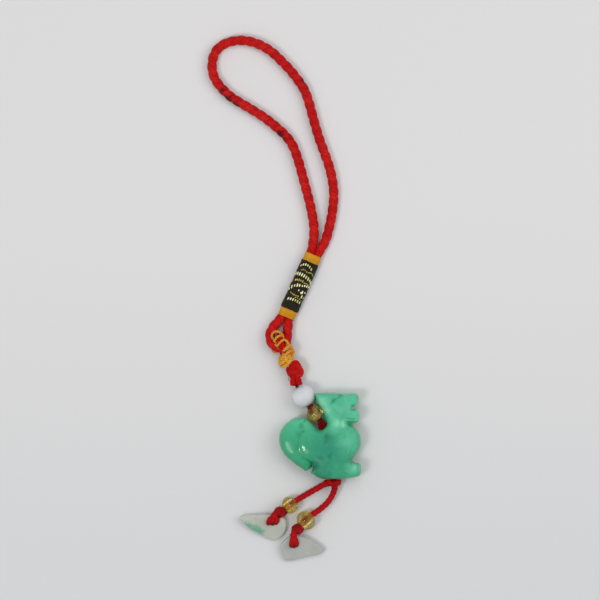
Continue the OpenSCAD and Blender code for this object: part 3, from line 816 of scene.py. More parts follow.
jadeSet = {"level": 3.52, "lipLevel": 1.3, "cell": 0.165, "blend": 0.2, "grow": 0.16, "smoothing": 3,
           "cheek": (7.5, 10.1), "cheekHalves": (2.9, 3.5),
           "low": (-14.2, -15.0, -0.6), "high": (14.2, 15.0, 8.6)}
silhouette = [[-1.4, 13.98], [1.33, 14.22], [6.5, 14.15], [8.23, 13.92], [11.47, 14.15], [12.6, 13.18],
              [12.6, 11.55], [11.9, 10.32], [10.63, 9.95], [10.67, 9.38], [10.7, 8.82], [12.13, 8.82],
              [12.93, 7.45], [12.83, 5.38], [12.13, 4.68], [10.77, 4.68], [10.73, 3.45], [11.7, 2.35],
              [12.7, 1.08], [13.13, -0.32], [13.27, -2.42], [12.97, -4.12], [11.87, -5.65], [10.87, -7.05],
              [10.6, -7.92], [10.73, -8.75], [12.0, -9.02], [13.27, -9.45], [13.4, -10.85], [13.4, -11.98],
              [12.83, -13.25], [10.6, -13.65], [7.93, -14.08], [4.27, -14.22], [1.47, -14.08],
              [-0.63, -13.52], [-2.8, -12.25], [-2.53, -11.62], [-1.9, -10.22], [-2.67, -9.45],
              [-3.57, -10.48], [-4.7, -11.48], [-5.23, -11.12], [-7.53, -9.58], [-9.57, -8.05],
              [-11.33, -6.38], [-12.37, -4.85], [-13.13, -3.22], [-13.4, -1.05], [-13.27, 0.48],
              [-12.63, 2.15], [-11.73, 3.55], [-10.33, 4.72], [-9.17, 5.48], [-8.03, 5.85], [-5.47, 5.85],
              [-4.6, 5.48], [-4.03, 5.02], [-2.93, 4.02], [-1.93, 2.92], [-1.17, 2.15], [0.4, 1.95],
              [1.67, 2.45], [2.5, 3.62], [2.33, 5.28], [1.67, 7.28], [0.33, 9.62], [-0.83, 11.62],
              [-1.4, 13.28]]
bodyLobe = [[-4.6, 5.4], [-2.9, 4.0], [-1.1, 2.2], [0.4, 1.9], [2.6, 3.5], [6.0, 4.4], [9.5, 3.9],
            [11.6, 2.3], [12.6, 1.0], [13.1, -0.3], [13.2, -2.4], [12.9, -4.1], [11.8, -5.6], [10.8, -7.0],
            [10.4, -8.4], [10.6, -12.4], [9.5, -13.6], [7.9, -14.0], [4.3, -14.1], [1.5, -14.0],
            [-0.6, -13.4], [-2.7, -12.2], [-2.4, -11.6], [-1.8, -10.2], [-2.7, -9.3], [-3.6, -10.4],
            [-4.6, -11.4], [-5.2, -11.1], [-7.5, -9.5], [-9.5, -8.0], [-11.3, -6.3], [-12.9, -3.4],
            [-13.3, -1.0], [-12.6, 2.1], [-10.3, 4.6], [-8.0, 5.8], [-5.5, 5.8]]
haunchLobe = [[-5.2, 3.6], [-4.0, 3.9], [-2.0, 2.2], [-1.1, 1.95], [0.6, 1.8], [2.9, 3.5], [5.5, 3.9],
              [9.0, 2.6], [10.6, -0.5], [10.6, -4.0], [9.9, -7.5], [10.0, -10.0], [8.5, -13.4],
              [4.3, -13.95], [1.5, -13.8], [-0.6, -13.2], [-2.4, -12.0], [-1.9, -9.9], [-2.8, -8.6],
              [-4.6, -7.0], [-6.0, -5.4], [-6.9, -3.7], [-7.2, -2.2], [-6.9, -0.5], [-6.2, 1.2]]
headLobe = [[-1.2, 13.75], [1.4, 14.0], [6.4, 14.0], [8.0, 13.7], [9.8, 13.2], [10.4, 11.2], [10.3, 9.4],
            [10.3, 7.5], [10.5, 5.2], [10.2, 3.4], [8.0, 1.6], [4.8, 1.2], [2.6, 2.4], [2.7, 5.2],
            [1.9, 7.4], [0.6, 9.7], [-0.6, 11.7]]
snoutLobe = [[8.2, 13.8], [11.4, 14.0], [12.4, 13.1], [12.45, 11.6], [11.8, 10.5], [10.4, 10.1],
             [8.6, 10.4], [7.6, 12.0]]
jawLobe = [[9.4, 8.6], [12.0, 8.65], [12.8, 7.4], [12.7, 5.5], [12.0, 4.85], [10.2, 4.9], [8.8, 6.2],
           [8.7, 7.6]]
cheekLobe = [[centre + half * wave(a) for centre, half, wave in
              zip(jadeSet["cheek"], jadeSet["cheekHalves"], (math.cos, math.sin))]
             for a in np.linspace(0, math.tau, 16)[:-1]]
chestLobe = [[9.6, 3.2], [11.6, 2.2], [12.6, 1.0], [13.0, -0.4], [13.1, -2.4], [12.8, -4.0], [11.8, -5.5],
             [10.8, -6.9], [9.4, -7.2], [8.3, -4.6], [8.0, -1.0], [8.4, 1.8]]
pawLobe = [[8.8, -8.4], [10.8, -8.8], [12.0, -9.15], [13.1, -9.6], [13.25, -10.9], [13.2, -12.0],
           [12.7, -13.1], [10.6, -13.5], [8.4, -13.6], [7.6, -11.6], [7.8, -9.4]]
lipLobe = [[-1.9, 13.3], [-0.5, 13.8], [2.0, 9.0], [3.4, 5.0], [3.2, 2.6], [1.9, 2.2], [1.75, 3.6],
           [1.3, 5.2], [0.7, 7.2], [-0.6, 9.8], [-1.6, 12.0]]

# Each lobe's outline, which level its middle is at, its half thickness and how wide its rim is rounded
jadeLobes = [(silhouette, "level", 3.05, 2.1), (bodyLobe, "level", 4.14, 6.2),
             (haunchLobe, "level", 4.46, 3.8), (headLobe, "level", 3.8, 2.6), (snoutLobe, "level", 3.6, 1.5),
             (jawLobe, "level", 3.55, 1.5), (cheekLobe, "level", 3.9, 2.4), (chestLobe, "level", 3.85, 3.2),
             (pawLobe, "level", 3.7, 2.0), (lipLobe, "lipLevel", 1.3, 1.4)]

# Carved lines: points, depth and width
jadeGrooves = [
    ([[-4.9, 5.3], [-6.0, 3.95], [-6.5, 1.02], [-7.0, -0.52], [-7.53, -2.32], [-7.77, -4.22],
      [-7.27, -5.62], [-5.73, -7.38], [-4.2, -8.1], [-2.8, -8.9]], 0.3, 0.42),
    ([[3.77, 10.88], [4.43, 12.02], [5.6, 12.72], [6.87, 13.42], [8.23, 13.85]], 0.2, 0.3),
    ([[4.67, 8.6], [5.2, 8.0], [5.93, 7.65]], 0.09, 0.35),
    ([[8.67, 5.9], [10.0, 5.75], [11.4, 5.75]], 0.16, 0.3),
    ([[8.5, 4.5], [9.6, 4.3], [10.7, 4.1]], 0.4, 0.6),
    ([[8.9, -4.2], [8.5, -5.6], [8.3, -6.9]], 0.12, 0.3),
    ([[10.9, -3.0], [10.6, -4.4], [10.1, -5.6]], 0.11, 0.28),
    ([[10.6, -8.3], [9.2, -8.2], [8.0, -8.6]], 0.18, 0.4),
    ([[8.0, -12.1], [9.2, -12.9], [10.6, -13.3]], 0.16, 0.4)]


def carveJade(values):
    stone = StoneField(values["low"], values["high"], values["cell"])
    for outline, level, half, rounding in jadeLobes:
        stone.add(stone.pillow(outline, values[level], half, rounding), values["blend"])
    for points, depth, width in jadeGrooves:
        stone.groove(points, depth, width, values["level"])
    top, foot = (np.array(boreSet[end] + (values["level"],)) for end in ("top", "foot"))
    way = (foot - top) / np.linalg.norm(foot - top)
    rx, ry, rz = stone.x[:, :, None] - top[0], stone.y[:, :, None] - top[1], stone.z - top[2]
    along = rx * way[0] + ry * way[1]
    away = np.sqrt((rx - along * way[0]) ** 2 + (ry - along * way[1]) ** 2 + rz ** 2)
    stone.field -= values["grow"]
    stone.cut(np.maximum(away - boreSet["radius"], -along - boreSet["past"]))
    stone.field = np.maximum(stone.field, -stone.z)
    return stone


jadeStone = makeJadeMaterial(jadeFinish)
finishPiece(carve("jadeFigure", carveJade(jadeSet), jadeStone, jadeSet["smoothing"]), "jade", "jade_figure")

# Bindings: thread wound round each end of the sleeve
sleevePlace = Place(sleeveSet["low"] + (sleeveSet["level"],), sleeveSet["turn"])
bindingSet = {"length": 2.8, "width": 5.8, "height": 3.8, "thread": 0.42, "past": 0.25, "packed": 0.93}


def makeBindings(values):
    thread = values["thread"]
    winding = {"Strands": 1, "Crossing": 0.0, "Pitch": thread * values["packed"],
               "Core Radius": values["height"] / 2 - thread / 2, "Weave": 0.0,
               "Straight Half": (values["width"] - values["height"]) / 2, "Strand Width": thread,
               "Strand Thickness": thread, "Step": 0.012, "Sides": 8}
    starts = {"lower": 0.0, "upper": sleeveSet["length"] - values["length"]}
    for name, start in starts.items():
        low = start - values["past"]
        high = start + values["length"] + values["past"]
        line = smoothRoute(sleevePlace.rows([[0, 0, low + thread / 2], [0, 0, high - thread / 2]]))
        finishPiece(layCord(name + "Binding", [line], winding, threads["bindingGold"]), "gold_thread",
                    name + "_binding")


# Sleeve: a woven tube with a soft rim
sleeveShape = {"length": 17.06, "width": 6.14, "height": 4.34, "wall": 0.72, "rim": 0.14, "sides": 96,
               "rings": 90, "meanRadius": 3, "endZone": 0.6, "endPinch": 0.04,
               "ripple": [(0.05, 2, 1.1), (0.035, -3, 2.9)], "fray": [(0.12, 5, 1), (0.08, 11, 0)]}


def sleeveSection(inset, angle):
    half = sleeveShape["height"] / 2 - inset
    straight = (sleeveShape["width"] - sleeveShape["height"]) / 2
    end = np.clip(flatEnds * np.cos(angle), -1, 1)
    return straight * end + half * np.cos(angle), half * np.sin(angle)


def makeSleeve(material):
    s = sleeveShape
    angle = np.linspace(0, math.tau, s["sides"], endpoint=False)
    start = (sleeveSet["length"] - s["length"]) / 2
    rings = []

    def waves(rows, along):
        # Each row: height, waves round the sleeve and rate along it
        return sum(height * np.sin(turns * angle + rate * along) for height, turns, rate in rows)

    def ring(inset, along):
        right, up = sleeveSection(inset, angle)
        fray = waves(s["fray"], along)
        ends = max(0.0, 1 - min(along, s["length"] - along) / s["endZone"])
        swell = 1 + (waves(s["ripple"], along) - s["endPinch"] * ends) / s["meanRadius"]
        rings.append([sleevePlace.at(r * swell[k], u * swell[k], start + along + fray[k] * ends)
                      for k, (r, u) in enumerate(zip(right, up))])

    for along in np.linspace(0.1, s["length"] - 0.1, s["rings"]):
        ring(0.0, along)
    end, wall, rim = s["length"], s["wall"], s["rim"]
    for inset, along in ((rim, end), (wall * 0.6, end), (wall, end - 0.2), (wall, end / 2), (wall, 0.2),
                         (wall * 0.6, 0.0), (rim, 0.0)):
        ring(inset, along)
    finishPiece(loft("brocadeSleeve", rings, material), "brocade", "brocade_sleeve")


# Rows of stitches: across and down (mm from the middle of the sleeve's upper edge) at the row's start,
# middle and end, how many, how long and how bright
stitchRows = [
    [(-2.5, 2.1), (-0.7, 1.2), (1.3, 2.0), 6, 1.1, 0.9],
    [(-1.6, 3.4), (-0.8, 3.0), (0.2, 3.4), 4, 0.6, 0.45],
    [(0.9, 3.4), (1.9, 3.2), (3.2, 3.9), 5, 0.5, 0.6],
    [(-3.2, 5.2), (0.0, 4.9), (3.3, 6.1), 9, 1.5, 1.0],
    [(-2.1, 7.2), (-1.0, 6.8), (0.3, 6.8), 5, 1.0, 0.5],
    [(1.0, 7.1), (1.8, 7.0), (2.6, 7.2), 4, 0.5, 0.45],
    [(-3.3, 10.8), (-1.6, 9.1), (-0.1, 8.4), 5, 1.4, 0.95],
    [(0.8, 8.2), (1.9, 7.8), (3.2, 7.8), 4, 0.95, 1.0],
    [(0.3, 10.0), (0.9, 10.1), (1.3, 10.5), 2, 0.8, 0.85],
    [(1.7, 10.2), (1.9, 10.9), (2.1, 11.6), 2, 1.7, 1.0],
    [(2.7, 10.0), (2.9, 10.8), (3.0, 11.8), 2, 0.9, 0.8],
    [(-1.8, 11.7), (-0.5, 12.0), (0.9, 11.9), 5, 0.55, 0.5],
    [(-1.8, 13.9), (0.2, 13.5), (2.3, 13.7), 6, 1.25, 0.9],
    [(0.3, 12.6), (1.4, 12.5), (2.5, 12.9), 4, 0.5, 0.45]]
stitchSet = {"width": 0.52, "flatness": 0.6, "lean": 0.16, "longMore": 0.15, "brightMore": 0.14,
             "raised": 0.02, "samples": 721, "dull": (134, 128, 44), "plain": (190, 182, 92),
             "bright": (240, 236, 184), "toPlain": (0.2, 0.6), "toBright": (0.55, 0.95)}


def buildStitchTree():
    tree, wire, given = newGroup("sewnStitches", "Geometry",
                                 [("Places", "Geometry", None), ("Stitch Width", "Float", 0.0003),
                                  ("Sides", "Int", 8), ("Finish", "Material", None)],
                                 [("Stitches", "Geometry")])
    seed = wire.out("GeometryNodeMeshUVSphere", {"Segments": given["Sides"], "Rings": 6, "Radius": 0.5})
    turn = wire.out("FunctionNodeAxesToRotation", {0: wire.read("sewn", "FLOAT_VECTOR"),
                                                   1: wire.read("facing", "FLOAT_VECTOR")},
                    primary_axis="Z", secondary_axis="X")
    size = wire.out("ShaderNodeCombineXYZ", {0: wire.times(given["Stitch Width"], stitchSet["flatness"]),
                                             1: given["Stitch Width"], 2: wire.read("long")})
    wire.endTree(wire.out("GeometryNodeInstanceOnPoints", {"Points": given["Places"], "Instance": seed,
                                                           "Rotation": turn, "Scale": size}), given["Finish"])
    return tree


def makeStitches(material):
    s = stitchSet
    top = (sleeveSet["length"] + sleeveShape["length"]) / 2
    angles = np.linspace(-math.pi / 2, 1.5 * math.pi, s["samples"])
    right, up = sleeveSection(0.0, angles)
    girth = np.concatenate([[0], np.cumsum(np.hypot(np.diff(right), np.diff(up)))])
    whole = girth[-1]
    points = []
    values = {"sewn": [], "facing": [], "long": [], "tone": []}
    for turn, mirror in ((0.0, 1), (whole / 2, -1)):
        for *bend, count, length, bright in stitchRows:
            start, centre, end = (np.array(place) for place in bend)
            for k in range(count):
                share = k / max(1, count - 1)
                across, down = (start * (1 - share) ** 2 + end * share ** 2
                                + 2 * share * (1 - share) * (2 * centre - (start + end) / 2))
                place = (whole / 2 - mirror * across + turn) % whole
                angle = np.interp(place, girth, angles)
                normal = sleevePlace.right * math.cos(angle) + sleevePlace.up * math.sin(angle)
                lean = s["lean"] * math.sin(7 * k + down)
                points.append(sleevePlace.at(*sleeveSection(-s["raised"], angle), top - down))
                values["sewn"].append(sleevePlace.along + lean * np.cross(sleevePlace.along, normal))
                values["facing"].append(normal)
                uneven = 1 - s["longMore"] + s["longMore"] * math.cos(3.1 * k + down)
                values["long"].append(length * uneven * mm)
                uneven = 1 - s["brightMore"] + s["brightMore"] * math.sin(5.3 * k + 2 * down)
                values["tone"].append(bright * uneven)
    mesh = bpy.data.meshes.new("brocadeStitches")
    mesh.from_pydata((np.array(points) * mm).tolist(), [], [])
    for name, rows in values.items():
        kind, key = ("FLOAT_VECTOR", "vector") if np.ndim(rows) == 2 else ("FLOAT", "value")
        mesh.attributes.new(name, kind, "POINT").data.foreach_set(key, np.array(rows, float).ravel())
    source = bpy.data.objects.new("brocadeStitchesRoute", mesh)
    scene.collection.objects.link(source)
    piece = runTree(source, buildStitchTree(), {"Stitch Width": s["width"] * mm, "Finish": material})
    finishPiece(piece, "brocade")


# Link cord: a doubled thin cord over the small loop and back under it, from the gold knot
linkSet = {"start": (-12.28, 27.32), "heading": 102, "half": 0.5}
linkRows = [[0.3, 4.05, 1], [1.2, 4.95, 1], [2.4, 5.05, 1], [5.4, 5.05, 1], [6.4, 4.6, 0.9],
            [6.8, 3.65, 0.8], [6.8, 2.3, 0.8], [6.3, 1.3, 0.8], [5, 0.9, 0.9], [2.4, 0.9, 1], [0.9, 1.2, 1],
            [0.2, 1.8, 1]]  # reach, level, thickness
thinCordSet = {"Strands": 8, "Crossing": 1.0, "Pitch": 4.2, "Core Radius": 0.42, "Weave": 0.06,
               "Strand Width": 0.52, "Strand Thickness": 0.36, "Step": 0.15, "Sides": 6}
satinCordSet = {"Strands": 3, "Crossing": 0.0, "Pitch": 4.6, "Core Radius": 0.3, "Weave": 0.0,
                "Strand Width": 0.68, "Strand Thickness": 0.64, "Step": 0.15, "Sides": 10}
goldThreadSet = {"Strands": 2, "Crossing": 0.0, "Pitch": 1.7, "Core Radius": 0.2, "Weave": 0.0,
                 "Strand Width": 0.44, "Strand Thickness": 0.44, "Step": 0.1, "Sides": 8}


def makeLink():
    tables = []
    for side in (-1, 1):
        rows = []
        for reach, level, share in linkRows:
            middle = step(linkSet["start"], linkSet["heading"], reach)
            aside = step(middle, linkSet["heading"] + 90, side * linkSet["half"] * share)
            rows.append([*aside, level, share])
        tables.append(rows)
    piece = layCord("linkCord", smoothRoutes(tables, "cord"), satinCordSet, threads["knotRed"])
    finishPiece(piece, "thin_cord", "link_cord")


# Threads traced on the photo: rows of x and y in its pixels, height in mm and maybe thickness
photoSet = {"x": 320, "y": 435.85, "pixelsPerMm": 3}


def fromPhoto(rows):
    p = photoSet
    return [[(x - p["x"]) / p["pixelsPerMm"], (p["y"] - y) / p["pixelsPerMm"], *rest] for x, y, *rest in rows]


# Lashing: one long thread up the right of the link, three turns round it and a slack one at the top, then
# the lower wraps, the right strand and the two crossings
lashingPixels = {
    "wound": [[289.8, 353, 3.3, 1.5], [290.2, 348.5, 3.7, 1.5], [288.2, 343.8, 4.2, 1.35],
              [286.0, 340.8, 5.0, 1.15], [284.2, 339.6, 5.9], [280.6, 341.7, 6.25], [277.4, 345.0, 5.8],
              [275.8, 344.7, 4.6], [276.8, 342.2, 3.95], [279.4, 339.6, 3.9], [281.9, 337.5, 4.4],
              [281.2, 335.6, 5.6], [277.8, 336.6, 6.2], [275.3, 339.0, 5.8], [274.5, 341.6, 4.8],
              [276.6, 340.6, 3.95], [280.4, 338.2, 3.9], [283.0, 338.4, 4.6], [282.7, 335.0, 5.4],
              [279.4, 332.2, 5.8], [275.6, 331.2, 5.6], [272.6, 333.2, 5.0], [271.8, 336.0, 4.6],
              [273.4, 339.2, 4.3], [277.0, 342.5, 3.9]],
    "lowerWrap": [[277.0, 345.5, 4.6], [278.0, 347.6, 4.4], [278.6, 349.8, 3.6], [276.4, 351.6, 2.4],
                  [273.4, 350.6, 1.8], [271.8, 348.0, 1.5]],
    "secondWrap": [[284.5, 353.6, 2.4], [281.2, 351.6, 3.3], [278.2, 351.4, 2.9], [275.2, 352.2, 1.6],
                   [272.6, 350.8, 1.0]],
    "rightStrand": [[285.8, 344.2, 3.9, 1.2], [289.2, 346.4, 4.2, 1.4], [292.2, 350.0, 4.2, 1.6],
                    [292.4, 354.6, 3.9, 1.5]],
    "firstCross": [[280.6, 352.6, 3.4, 1.2], [283.4, 350.4, 4.9, 1.4], [286.8, 347.6, 5.5, 1.4],
                   [290.2, 346.2, 4.9, 1.3], [291.8, 347.6, 3.8, 1.2]],
    "secondCross": [[283.0, 356.6, 3.6, 1.3], [285.8, 354.0, 5.0, 1.45], [289.4, 351.6, 5.4, 1.5],
                    [292.8, 351.2, 4.6, 1.4], [293.6, 353.4, 3.6, 1.3]]}


def makeLashing():
    lines = smoothRoutes([fromPhoto(rows) for rows in lashingPixels.values()], "thread")
    finishPiece(layCord("goldLashing", lines, goldThreadSet, threads["threadGold"]), "gold_thread",
                "gold_lashing")


def coil(place, start, length, turns, width, height, slant=0.0, swell=0.0, first=0.0, thick=1.0):
    # Rows of a thread wound round a place's axis; slant leans each turn along the axis
    rows = []
    count = max(8, round(turns * 16))
    for k in range(count + 1):
        share = k / count
        turn = first + math.tau * turns * share
        size = 1 + swell * math.sin(math.pi * share)
        rows.append(list(place.at(width / 2 * size * math.cos(turn), height / 2 * size * math.sin(turn),
                                  start + length * share + slant * math.cos(turn))) + [thick])
    return rows


# Knots: coils round a core, with strands traced on the photo
goldKnotSet = {"low": (-10.19, 24.64, 2.6), "heading": 128, "middle": 1.7, "crossTurn": 62,
               "core": (2.0, 1.85, 1.5),
               "coil": {"start": 0.1, "length": 3.1, "turns": 2.6, "width": 2.9, "height": 2.7, "slant": 0.5,
                        "swell": 0.42, "first": 0.4, "thick": 1.6},
               "crossCoil": {"start": -1.2, "length": 2.1, "turns": 1.6, "width": 3.9, "height": 3.7,
                             "slant": 0.7, "swell": 0.1, "first": 1.2, "thick": 1.5}}
goldKnotPixels = {
    "sideLoop": [[287, 358, 3.4, 1.4], [283.9, 356.6, 3.4, 1.4], [280.2, 357.6, 2.9, 1.4],
                 [279.6, 362.0, 1.9, 1.4], [281.6, 366.0, 1.4, 1.4], [284.9, 365.6, 1.7, 1.4],
                 [286.3, 361.8, 2.6, 1.4], [286.9, 359, 3.4, 1.4]],
    "slantWrap": [[292.4, 356.4, 3.3, 1.5], [290.6, 360.6, 4.5, 1.5], [287.2, 364.4, 4.3, 1.5],
                  [283.2, 366.6, 3.1, 1.4]]}


def makeGoldKnot(values):
    place = Place(values["low"], values["heading"])
    middle = place.at(0, 0, values["middle"])
    crossPlace = Place(middle, values["heading"] + values["crossTurn"])
    tables = [coil(place, **values["coil"]), coil(crossPlace, **values["crossCoil"])]
    tables += [fromPhoto(rows) for rows in goldKnotPixels.values()]
    gold = threads["knotGold"]
    pieces = [layCord("goldKnotWraps", smoothRoutes(tables, "thread"), goldThreadSet, gold),
              ball("goldKnotCore", Place(middle, values["heading"]), values["core"], gold)]
    finishPiece(joinPieces("goldKnot", pieces), "gold_thread", "gold_knot")


# Red knot: its trunk is strands round one in the middle, rows of reach, along, lean and thickness
redKnotSet = {"low": (-7.825, 16.69, 3.45), "heading": 98, "rise": -6.2, "middle": 4.6,
              "core": (1.9, 1.5, 2.7), "strands": 6, "looseThread": 0.16, "looseCore": 0.06,
              "trunk": [[1.42, 0.35, 0.0, 1.14], [1.3, 1.2, 0.02, 1.16], [1.12, 2.6, 0.04, 1.14],
                        [1.1, 4.2, 0.06, 1.1], [0.9, 6.2, 0.1, 1.0]],
              "coil": {"start": 4.4, "length": 2.1, "turns": 1.7, "width": 3.3, "height": 3.0, "slant": 0.5,
                       "swell": 0.1, "first": 0.6, "thick": 1.55}}
redKnotPixels = {
    "crown": [[288.6, 369.6, 3.0, 1.2], [291.0, 365.8, 4.5, 1.25], [294.4, 362.6, 4.4, 1.3],
              [297.0, 362.8, 3.7, 1.5], [298.2, 366.2, 3.9, 1.5], [296.4, 370.2, 4.8, 1.45],
              [292.6, 372.6, 5.3, 1.45], [288.9, 371.6, 4.4, 1.4], [287.9, 368.6, 2.6, 1.1]],
    "backWrap": [[289.4, 373.6, 3.6, 1.2], [291.6, 369.4, 5.0, 1.35], [294.6, 366.2, 5.3, 1.4],
                 [297.4, 366.4, 4.4, 1.3]],
    "sideWrap": [[293.5, 369.5, 4.6, 1.3], [297.6, 368.4, 4.5, 1.4], [300.6, 369.6, 4.0, 1.45],
                 [301.4, 372.4, 3.6, 1.45], [299.8, 375.0, 3.6, 1.4], [296.6, 376.0, 3.9, 1.3]],
    "stub": [[296.5, 370.5, 3.2, 1.35], [300.0, 371.4, 3.3, 1.4], [302.6, 372.2, 3.0, 1.4]]}
looseThreadPixels = [[292.0, 374.5, 3.8], [289.3, 376.4, 3.4], [288.6, 379.0, 3.0], [290.2, 381.4, 3.0],
                     [293.0, 381.8, 3.4]]


def makeRedKnot(values):
    place = Place(values["low"], values["heading"], values["rise"])
    tables = []
    for k in range(values["strands"] + 1):
        turn = math.tau * k / values["strands"]
        out = 0.0 if k == values["strands"] else 1.0
        tables.append(place.rows([[out * reach * math.cos(turn + lean), out * reach * math.sin(turn + lean),
                                   along, thick] for reach, along, lean, thick in values["trunk"]]))
    tables.append(coil(place, **values["coil"]))
    tables += [fromPhoto(rows) for rows in redKnotPixels.values()]
    loose = dict(goldThreadSet, **{"Core Radius": values["looseCore"], "Strand Width": values["looseThread"],
                                   "Strand Thickness": values["looseThread"]})
    red = threads["knotRed"]
    pieces = [layCord("redKnotStrands", smoothRoutes(tables, "knot"), satinCordSet, red),
              layCord("redKnotThread", smoothRoutes([fromPhoto(looseThreadPixels)], "thread"), loose, red),
              ball("redKnotCore", Place(place.at(0, 0, values["middle"]), values["heading"]), values["core"],
                   red)]
    finishPiece(joinPieces("redKnot", pieces), "thin_cord", "red_knot")


# Bead cord: doubled, from the red knot through both beads and the whole jade; rows of place and thickness
beadCordHalf = 0.56
beadCordRows = [[-7.95, 17.4, 3.2, 0.5], [-7.5, 16.2, 3.6, 0.5], [-5.4, 13.1, 3.75, 0.95],
                [-3.3, 10.0, 3.7, 0.98], [-2.9, 9.1, 3.4, 0.98], [-0.35, 6.0, 3.4, 0.78],
                [0.2, 4.8, 3.5, 0.95], [0.7, 3.6, 3.5, 1.2], [1.15, 2.5, 3.52, 1.36], [1.5, 1.0, 3.52, 1.2],
                [2.7, -5.0, 3.52, 1.0], [4.2, -13.8, 3.52, 1.0], [4.3, -15.2, 3.52, 1.0]]


def makeBeadCord():
    tables = []
    for side in (-1, 1):
        rows = []
        for k, row in enumerate(beadCordRows):
            ahead = beadCordRows[min(k + 1, len(beadCordRows) - 1)]
            behind = beadCordRows[max(k - 1, 0)]
            heading = math.degrees(math.atan2(ahead[1] - behind[1], ahead[0] - behind[0]))
            rows.append([*step(row[:3], heading + 90, side * beadCordHalf * row[3]), row[3]])
        tables.append(rows)
    lines = smoothRoutes(tables, "cord")
    # the bead cord takes the darker copy of the cord's red, painted shade
    finishPiece(layCord("beadCord", lines, thinCordSet, threads["shadedCordRed"]), "thin_cord", "bead_cord")


# Stopper knot: a bar under the jade's feet and a turn over it
stopperRows = {
    "bar": [[1.6, -15.3, 3.1, 1.6], [2.4, -15.5, 3.45, 1.75], [4.3, -15.6, 3.6, 1.8],
            [6.0, -15.5, 3.5, 1.8], [6.3, -15.0, 3.1, 1.5]],
    "over": [[3.6, -14.0, 3.4, 1.2], [3.0, -14.7, 4.4, 1.2], [3.7, -15.8, 4.75, 1.2],
             [4.6, -16.6, 4.0, 1.2], [4.9, -16.5, 2.9, 1.2], [5.0, -15.4, 2.3, 1.2],
             [5.2, -14.2, 3.3, 1.2]]}


def makeStopper():
    lines = smoothRoutes(stopperRows.values(), "knot")
    finishPiece(layCord("stopperKnot", lines, satinCordSet, threads["cordRed"]), "thin_cord", "stopper_knot")


tailKnotSet = {"middle": 1.7, "core": (1.2, 1.15, 1.6),
               "coil": {"start": 0.55, "length": 1.8, "turns": 2.2, "width": 2.35, "height": 2.3,
                        "slant": 0.32, "swell": 0.06, "first": 2.6, "thick": 1.25},
               "sideWrap": [[-0.4, 1.0, 2.2, 1.1], [-0.9, 1.1, 1.4, 1.2], [-0.2, 1.55, 0.8, 1.2],
                            [0.9, 0.9, 0.9, 1.1], [1.2, 0.2, 1.8, 1.0]]}
rightEndPixels = [[292.6, 532.6, 3.6, 0.5], [291.0, 533.6, 3.5, 0.36], [289.6, 535.0, 3.2, 0.3]]


def makeTailKnots(values):
    for sideName, t in tailSets.items():
        knotStart, knotEnd = tailPlaces(t)[2:4]
        rise = math.degrees(math.asin((knotEnd[2] - knotStart[2]) / np.linalg.norm(knotEnd - knotStart)))
        place = Place(knotStart, t["knotTurn"], rise)
        tables = [coil(place, **values["coil"]), place.rows(values["sideWrap"])]
        if sideName == "right":
            tables.append(fromPhoto(rightEndPixels))
        middle = Place(place.at(0, 0, values["middle"]), t["knotTurn"], rise)
        red = threads["tailRed"]
        pieces = [layCord(sideName + "KnotWraps", smoothRoutes(tables, "knot"), satinCordSet, red),
                  ball(sideName + "KnotCore", middle, values["core"], red)]
        finishPiece(joinPieces(sideName + "Knot", pieces), "thin_cord", sideName + "_knot")


# Beads: turned round their cord, with a small lip at the bore
beadShape = {"bore": 2.5, "lip": 0.14, "rings": 40, "sides": 72,
             "flare": [(0.995, 0.05), (0.97, 0.01), (0.9, 0.0), (0.4, 0.0)]}
beadSets = {"whiteBead": {"start": (-3.547, 10.351, 3.75), "end": (-7.545, 16.279, 3.75), "width": 7.5},
            "neckBead": {"start": (-0.24, 5.82, 3.35), "end": (-3.135, 9.395, 3.35), "width": 5.9}}


def makeBead(name, node, slotName, material, start, end, width):
    start, end = np.array(start, float), np.array(end, float)
    length = np.linalg.norm(end - start)
    heading = math.degrees(math.atan2(end[1] - start[1], end[0] - start[0]))
    place = Place(start, heading)
    hole = beadShape["bore"] / 2
    lip = math.acos((hole + beadShape["lip"]) / (width / 2))
    turns = np.linspace(-lip, lip, beadShape["rings"])
    profile = [(length / 2 * (1 + math.sin(t) / math.sin(lip)), width / 2 * math.cos(t)) for t in turns]
    flare = beadShape["flare"]
    profile += [(length * (0.5 + 0.5 * along), hole + rise)
                for along, rise in flare + [(-along, rise) for along, rise in reversed(flare)]]
    sides = np.linspace(0, math.tau, beadShape["sides"], endpoint=False)
    rings = [[place.at(radius * math.cos(t), radius * math.sin(t), along) for t in sides]
             for along, radius in profile]
    finishPiece(loft(name, rings, material), slotName, node)


def makeBeads(white, neck, amber):
    makeBead("whiteBead", "white_bead", "white_stone", white, **beadSets["whiteBead"])
    makeBead("neckBead", "neck_bead", "amber_glass", neck, **beadSets["neckBead"])
    for sideName, t in tailSets.items():
        start, end = tailPlaces(t)[:2]
        grow = (end - start) * t["beadGrow"]
        makeBead(sideName + "Bead", sideName + "_bead", "amber_glass", amber, start - grow, end + grow,
                 t["beadWidth"])


